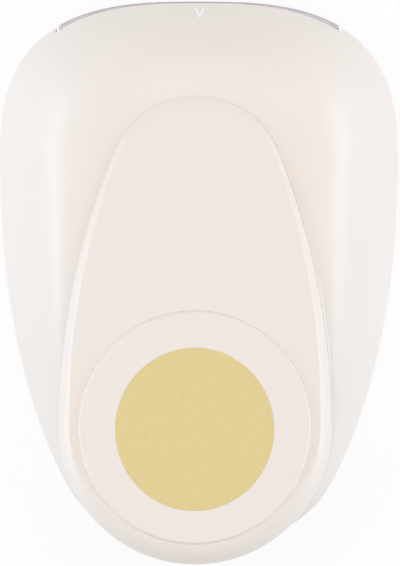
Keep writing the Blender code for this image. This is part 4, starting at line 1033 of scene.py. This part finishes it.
def make_screw(bite):
    """Pan head screw that points up from its seat at the origin, with a cross recess."""
    profile = [(0.0, -HEAD_HEIGHT)]
    for step in range(ROUND_STEPS + 1):
        rise, inward = quarter(step, ROUND_STEPS, 1.0)
        radius = HEAD_RADIUS * (1.0 - HEAD_ROUND_SHARE * inward)
        profile.append((radius, -HEAD_HEIGHT * (1.0 - HEAD_DOME_SHARE * rise)))
    profile += [(HEAD_RADIUS, 0.0), (SHANK_RADIUS, 0.0), (SHANK_RADIUS, bite - SHANK_RADIUS / 2)]
    profile += [(SHANK_RADIUS / 2, bite), (0.0, bite)]
    screw = spun("screw", profile, (0.0, 0.0, 0.0), SCREW_POINTS)
    long_side = CROSS_LENGTH / 2
    short_side = CROSS_WIDTH / 2
    low = -HEAD_HEIGHT - OVERRUN
    high = CROSS_DEPTH - HEAD_HEIGHT
    cross = [
        block("cross", (-long_side, -short_side, low), (long_side, short_side, high)),
        block("cross", (-short_side, -long_side, low), (short_side, long_side, high)),
    ]
    return combine(screw, cross, "DIFFERENCE")


def place_screws(looks, prefix, bite, places, seat, body, down):
    """Copies of one screw, each with its own mesh, for a row of numbered screws."""
    model = make_screw(bite)
    for number, (x, y) in enumerate(places, 1):
        screw = copied(model, (x, y, seat), math.pi if down else 0.0)
        dress(screw, f"{prefix}_head_{number}", looks["steel"], body, "bright_steel", f"{prefix}_{number}")
    bpy.data.objects.remove(model)


def make_springs(looks):
    """Four coil springs round the guide pins, wound from one wire."""
    bpy.ops.object.select_all(action="DESELECT")
    bpy.ops.mesh.primitive_circle_add(vertices=WIRE_POINTS, radius=WIRE_RADIUS,
                                      location=(SPRING_RADIUS, 0.0, 0.0), rotation=(math.pi / 2, 0.0, 0.0))
    model = settled("spring")
    winding = model.modifiers.new("winding", "SCREW")
    winding.angle = math.tau * SPRING_TURNS
    winding.screw_offset = SPRING_HIGH - SPRING_LOW
    winding.steps = int(SPRING_TURNS * SPRING_STEPS)
    winding.render_steps = winding.steps
    bpy.ops.object.modifier_apply(modifier=winding.name)
    bpy.ops.object.mode_set(mode="EDIT")
    bpy.ops.mesh.select_all(action="SELECT")
    bpy.ops.mesh.fill_holes(sides=WIRE_POINTS)
    face_outwards()
    bpy.ops.object.mode_set(mode="OBJECT")
    number = 0
    for side in (-1.0, 1.0):
        for along in (-1.0, 1.0):
            number += 1
            spring = copied(model, (side * PIN_X, DIE_Y + along * PIN_SPREAD, SPRING_LOW))
            dress(spring, f"spring_coil_{number}", looks["spring"], "base", "spring_wire",
                  f"return_spring_{number}")
            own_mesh(spring)
    bpy.data.objects.remove(model)


# Finishes

def new_finish(name, metallic=0.0):
    """Material with its shader and the object coordinates that its patterns read."""
    material = bpy.data.materials.new(name)
    material.use_nodes = True
    tree = material.node_tree
    tree.nodes["Principled BSDF"].inputs["Metallic"].default_value = metallic
    place = tree.nodes.new("ShaderNodeTexCoord").outputs["Object"]
    return material, tree, place


def speckle(tree, place, scale, detail, stretch=(1.0, 1.0, 1.0)):
    """Cloudy pattern from 0 to 1, stretched along an axis for drawn or turned metal."""
    mapping = tree.nodes.new("ShaderNodeMapping")
    mapping.inputs["Scale"].default_value = stretch
    pattern = tree.nodes.new("ShaderNodeTexNoise")
    pattern.inputs["Scale"].default_value = scale
    pattern.inputs["Detail"].default_value = detail
    tree.links.new(place, mapping.inputs["Vector"])
    tree.links.new(mapping.outputs["Vector"], pattern.inputs["Vector"])
    return pattern.outputs["Fac"]


def colour_between(tree, pattern, first, second):
    """Base colour that drifts between two close tones."""
    ramp = tree.nodes.new("ShaderNodeValToRGB")
    for stop, place, tone in zip(ramp.color_ramp.elements, PATTERN_LIMITS, (first, second)):
        stop.position = place
        stop.color = (*tone, 1.0)
    tree.links.new(pattern, ramp.inputs["Fac"])
    tree.links.new(ramp.outputs["Color"], tree.nodes["Principled BSDF"].inputs["Base Color"])


def roughness_between(tree, pattern, low, high):
    """Roughness that drifts between two values."""
    spread = tree.nodes.new("ShaderNodeMapRange")
    for name, value in zip(("From Min", "From Max", "To Min", "To Max"), (*PATTERN_LIMITS, low, high)):
        spread.inputs[name].default_value = value
    tree.links.new(pattern, spread.inputs["Value"])
    tree.links.new(spread.outputs["Result"], tree.nodes["Principled BSDF"].inputs["Roughness"])


def fine_relief(tree, pattern, depth, strength):
    """Shallow relief from a pattern."""
    bump = tree.nodes.new("ShaderNodeBump")
    bump.inputs["Distance"].default_value = depth
    bump.inputs["Strength"].default_value = strength
    tree.links.new(pattern, bump.inputs["Height"])
    tree.links.new(bump.outputs["Normal"], tree.nodes["Principled BSDF"].inputs["Normal"])


def ivory_plastic():
    """Satin moulded plastic of the housing, lever and pad."""
    material, tree, place = new_finish("ivory_plastic")
    colour_between(tree, speckle(tree, place, 35.0, 3.0), (0.850, 0.795, 0.733), (0.862, 0.809, 0.749))
    roughness_between(tree, speckle(tree, place, 260.0, 2.0), 0.34, 0.40)
    fine_relief(tree, speckle(tree, place, 5200.0, 2.0), 0.00003, 0.25)
    return material


def painted_highlight_white():
    """Painted highlight of the raised mark: a paler, slightly glossier copy of the plastic round it, for the
    light that its strokes catch.
    """
    material, tree, place = new_finish("painted_highlight_white")
    # Painted highlight: these pale tones stand in for light caught by the mark's raised strokes.
    colour_between(tree, speckle(tree, place, 300.0, 2.0), (0.930, 0.915, 0.910), (0.960, 0.950, 0.945))
    roughness_between(tree, speckle(tree, place, 900.0, 2.0), 0.30, 0.38)
    return material


def base_plastic():
    """Matt, finely textured plastic of the floor plate."""
    material, tree, place = new_finish("base_plastic")
    colour_between(tree, speckle(tree, place, 60.0, 3.0), (0.800, 0.755, 0.700), (0.830, 0.787, 0.735))
    roughness_between(tree, speckle(tree, place, 400.0, 2.0), 0.48, 0.58)
    fine_relief(tree, speckle(tree, place, 2600.0, 3.0), 0.00008, 0.6)
    return material


def gold_foil():
    """Satin gold of the disc, with a fine metallic grain."""
    material, tree, place = new_finish("gold_foil", 0.2)
    colour_between(tree, speckle(tree, place, 1300.0, 4.0), (0.656, 0.546, 0.243), (0.686, 0.575, 0.265))
    roughness_between(tree, speckle(tree, place, 900.0, 2.0), 0.40, 0.48)
    fine_relief(tree, speckle(tree, place, 6000.0, 2.0), 0.00002, 0.3)
    return material


def cast_zinc():
    """Tumbled zinc casting with a faint cloudy grain."""
    material, tree, place = new_finish("cast_zinc", 0.9)
    colour_between(tree, speckle(tree, place, 300.0, 4.0), (0.420, 0.390, 0.425), (0.480, 0.450, 0.485))
    roughness_between(tree, speckle(tree, place, 900.0, 3.0), 0.36, 0.50)
    fine_relief(tree, speckle(tree, place, 2400.0, 3.0), 0.00005, 0.5)
    return material


def plated_sheet():
    """Zinc plated steel sheet with drawn streaks."""
    material, tree, place = new_finish("plated_sheet", 1.0)
    streaks = speckle(tree, place, 700.0, 3.0, (1.0, 0.08, 1.0))
    colour_between(tree, streaks, (0.560, 0.570, 0.590), (0.620, 0.630, 0.645))
    roughness_between(tree, streaks, 0.30, 0.42)
    fine_relief(tree, streaks, 0.00002, 0.4)
    return material


def bright_steel():
    """Ground and turned steel with fine rings."""
    material, tree, place = new_finish("bright_steel", 1.0)
    rings = speckle(tree, place, 900.0, 2.0, (0.15, 0.15, 1.0))
    colour_between(tree, rings, (0.600, 0.600, 0.610), (0.660, 0.660, 0.665))
    roughness_between(tree, rings, 0.22, 0.32)
    fine_relief(tree, rings, 0.00001, 0.4)
    return material


def spring_wire():
    """Dark drawn spring wire."""
    material, tree, place = new_finish("spring_wire", 1.0)
    grain = speckle(tree, place, 1500.0, 2.0)
    colour_between(tree, grain, (0.380, 0.390, 0.410), (0.440, 0.450, 0.465))
    roughness_between(tree, grain, 0.30, 0.40)
    fine_relief(tree, grain, 0.00001, 0.4)
    return material


def finish_cad_nodes(looks):
    """Give every node that stays its material, by a table of node names."""
    finishes = {
        "guide_plate": "zinc", "slot_shim_left": "sheet", "slot_shim_right": "sheet",
        "slot_shim_rear": "sheet", "punch_carrier": "sheet", "lever_core": "sheet",
        "punch_block": "steel", "pivot_axle": "steel", "press_roller": "steel",
        "roller_pin": "steel", "guide_pin_1": "steel", "guide_pin_2": "steel",
        "guide_pin_3": "steel", "guide_pin_4": "steel", "axle_clip_left": "spring",
        "axle_clip_right": "spring",
    }
    for name, look in finishes.items():
        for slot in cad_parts[name].material_slots:
            slot.material = looks[look]


# Studio

def white_to_lens(tree, shading, strength, share):
    """Mix a shading with plain white that only the lens, mirrors and glass see."""
    path = tree.nodes.new("ShaderNodeLightPath")
    seen = path.outputs["Is Camera Ray"]
    for kind in ("Is Glossy Ray", "Is Transmission Ray"):
        either = tree.nodes.new("ShaderNodeMath")
        either.operation = "MAXIMUM"
        tree.links.new(seen, either.inputs[0])
        tree.links.new(path.outputs[kind], either.inputs[1])
        seen = either.outputs["Value"]
    portion = tree.nodes.new("ShaderNodeMath")
    portion.operation = "MULTIPLY"
    portion.inputs[1].default_value = share
    tree.links.new(seen, portion.inputs[0])
    white = tree.nodes.new("ShaderNodeEmission")
    white.inputs["Strength"].default_value = strength
    mixed = tree.nodes.new("ShaderNodeMixShader")
    tree.links.new(portion.outputs["Value"], mixed.inputs["Fac"])
    tree.links.new(shading, mixed.inputs[1])
    tree.links.new(white.outputs["Emission"], mixed.inputs[2])
    return mixed.outputs["Shader"]


def make_floor():
    """Wide pale floor, nearly white to the lens, that keeps a faint shadow."""
    bpy.ops.object.select_all(action="DESELECT")
    bpy.ops.mesh.primitive_plane_add(size=FLOOR_SIZE, location=(0.0, 0.0, -FLOOR_DROP))
    floor = settled("floor")
    material = bpy.data.materials.new("pale_floor")
    material.use_nodes = True
    tree = material.node_tree
    shader = tree.nodes["Principled BSDF"]
    shader.inputs["Base Color"].default_value = FLOOR_COLOUR
    shader.inputs["Roughness"].default_value = FLOOR_ROUGHNESS
    mixed = white_to_lens(tree, shader.outputs["BSDF"], FLOOR_WHITE, FLOOR_WHITE_SHARE)
    tree.links.new(mixed, tree.nodes["Material Output"].inputs["Surface"])
    floor.data.materials.append(material)


def make_world():
    """Even pale surroundings, white where the lens or a mirror sees them."""
    world = bpy.data.worlds.new("pale_room")
    world.use_nodes = True
    tree = world.node_tree
    room = tree.nodes["Background"]
    room.inputs["Color"].default_value = ROOM_COLOUR
    room.inputs["Strength"].default_value = ROOM_STRENGTH
    mixed = white_to_lens(tree, room.outputs["Background"], ROOM_WHITE, ROOM_WHITE_SHARE)
    tree.links.new(mixed, tree.nodes["World Output"].inputs["Surface"])
    bpy.context.scene.world = world


def make_softbox(name, place, width, length, share, colour):
    """Large soft lamp aimed at the punch, that lights it by a share of full white."""
    distance = math.dist(place, LAMP_AIM)
    lamp = bpy.data.lights.new(name, "AREA")
    lamp.shape = "RECTANGLE"
    lamp.size = width
    lamp.size_y = length
    lamp.energy = share * (math.pi * distance) ** 2
    lamp.color = colour
    box = bpy.data.objects.new(name, lamp)
    bpy.context.scene.collection.objects.link(box)
    aim = Vector(LAMP_AIM) - Vector(place)
    box.location = place
    box.rotation_euler = aim.to_track_quat("-Z", "Y").to_euler()
    box.visible_camera = False


def make_camera():
    """Camera high over the punch, a little to its right, as the photograph has it."""
    lens = bpy.data.cameras.new("photo_lens")
    lens.lens = LENS
    lens.sensor_width = SENSOR
    lens.clip_end = VIEW_DEPTH
    camera = bpy.data.objects.new("photo_camera", lens)
    bpy.context.scene.collection.objects.link(camera)
    camera.location = (CAMERA_X, CAMERA_Y, CAMERA_HEIGHT)
    tilt = math.atan2(CAMERA_X - AIM_X, CAMERA_HEIGHT)
    camera.rotation_euler = (0.0, tilt, math.radians(CAMERA_TURN_DEGREES))
    bpy.context.scene.camera = camera


def main():
    """Dress the punch and set the studio."""
    looks = {
        "ivory": ivory_plastic(),
        "white": painted_highlight_white(),
        "base": base_plastic(),
        "gold": gold_foil(),
        "zinc": cast_zinc(),
        "sheet": plated_sheet(),
        "steel": bright_steel(),
        "spring": spring_wire(),
    }
    bpy.context.scene.view_settings.view_transform = "Standard"
    make_camera()
    make_world()
    for softbox in SOFTBOXES:
        make_softbox(*softbox)
    make_floor()
    make_housing(looks)
    make_mark(looks)
    make_lever_cover(looks)
    make_pad_cap(looks)
    make_colour_disc(looks)
    make_die_plate(looks)
    make_base_cover(looks)
    make_springs(looks)
    for screws in SCREW_SETS:
        place_screws(looks, *screws)
    finish_cad_nodes(looks)


main()
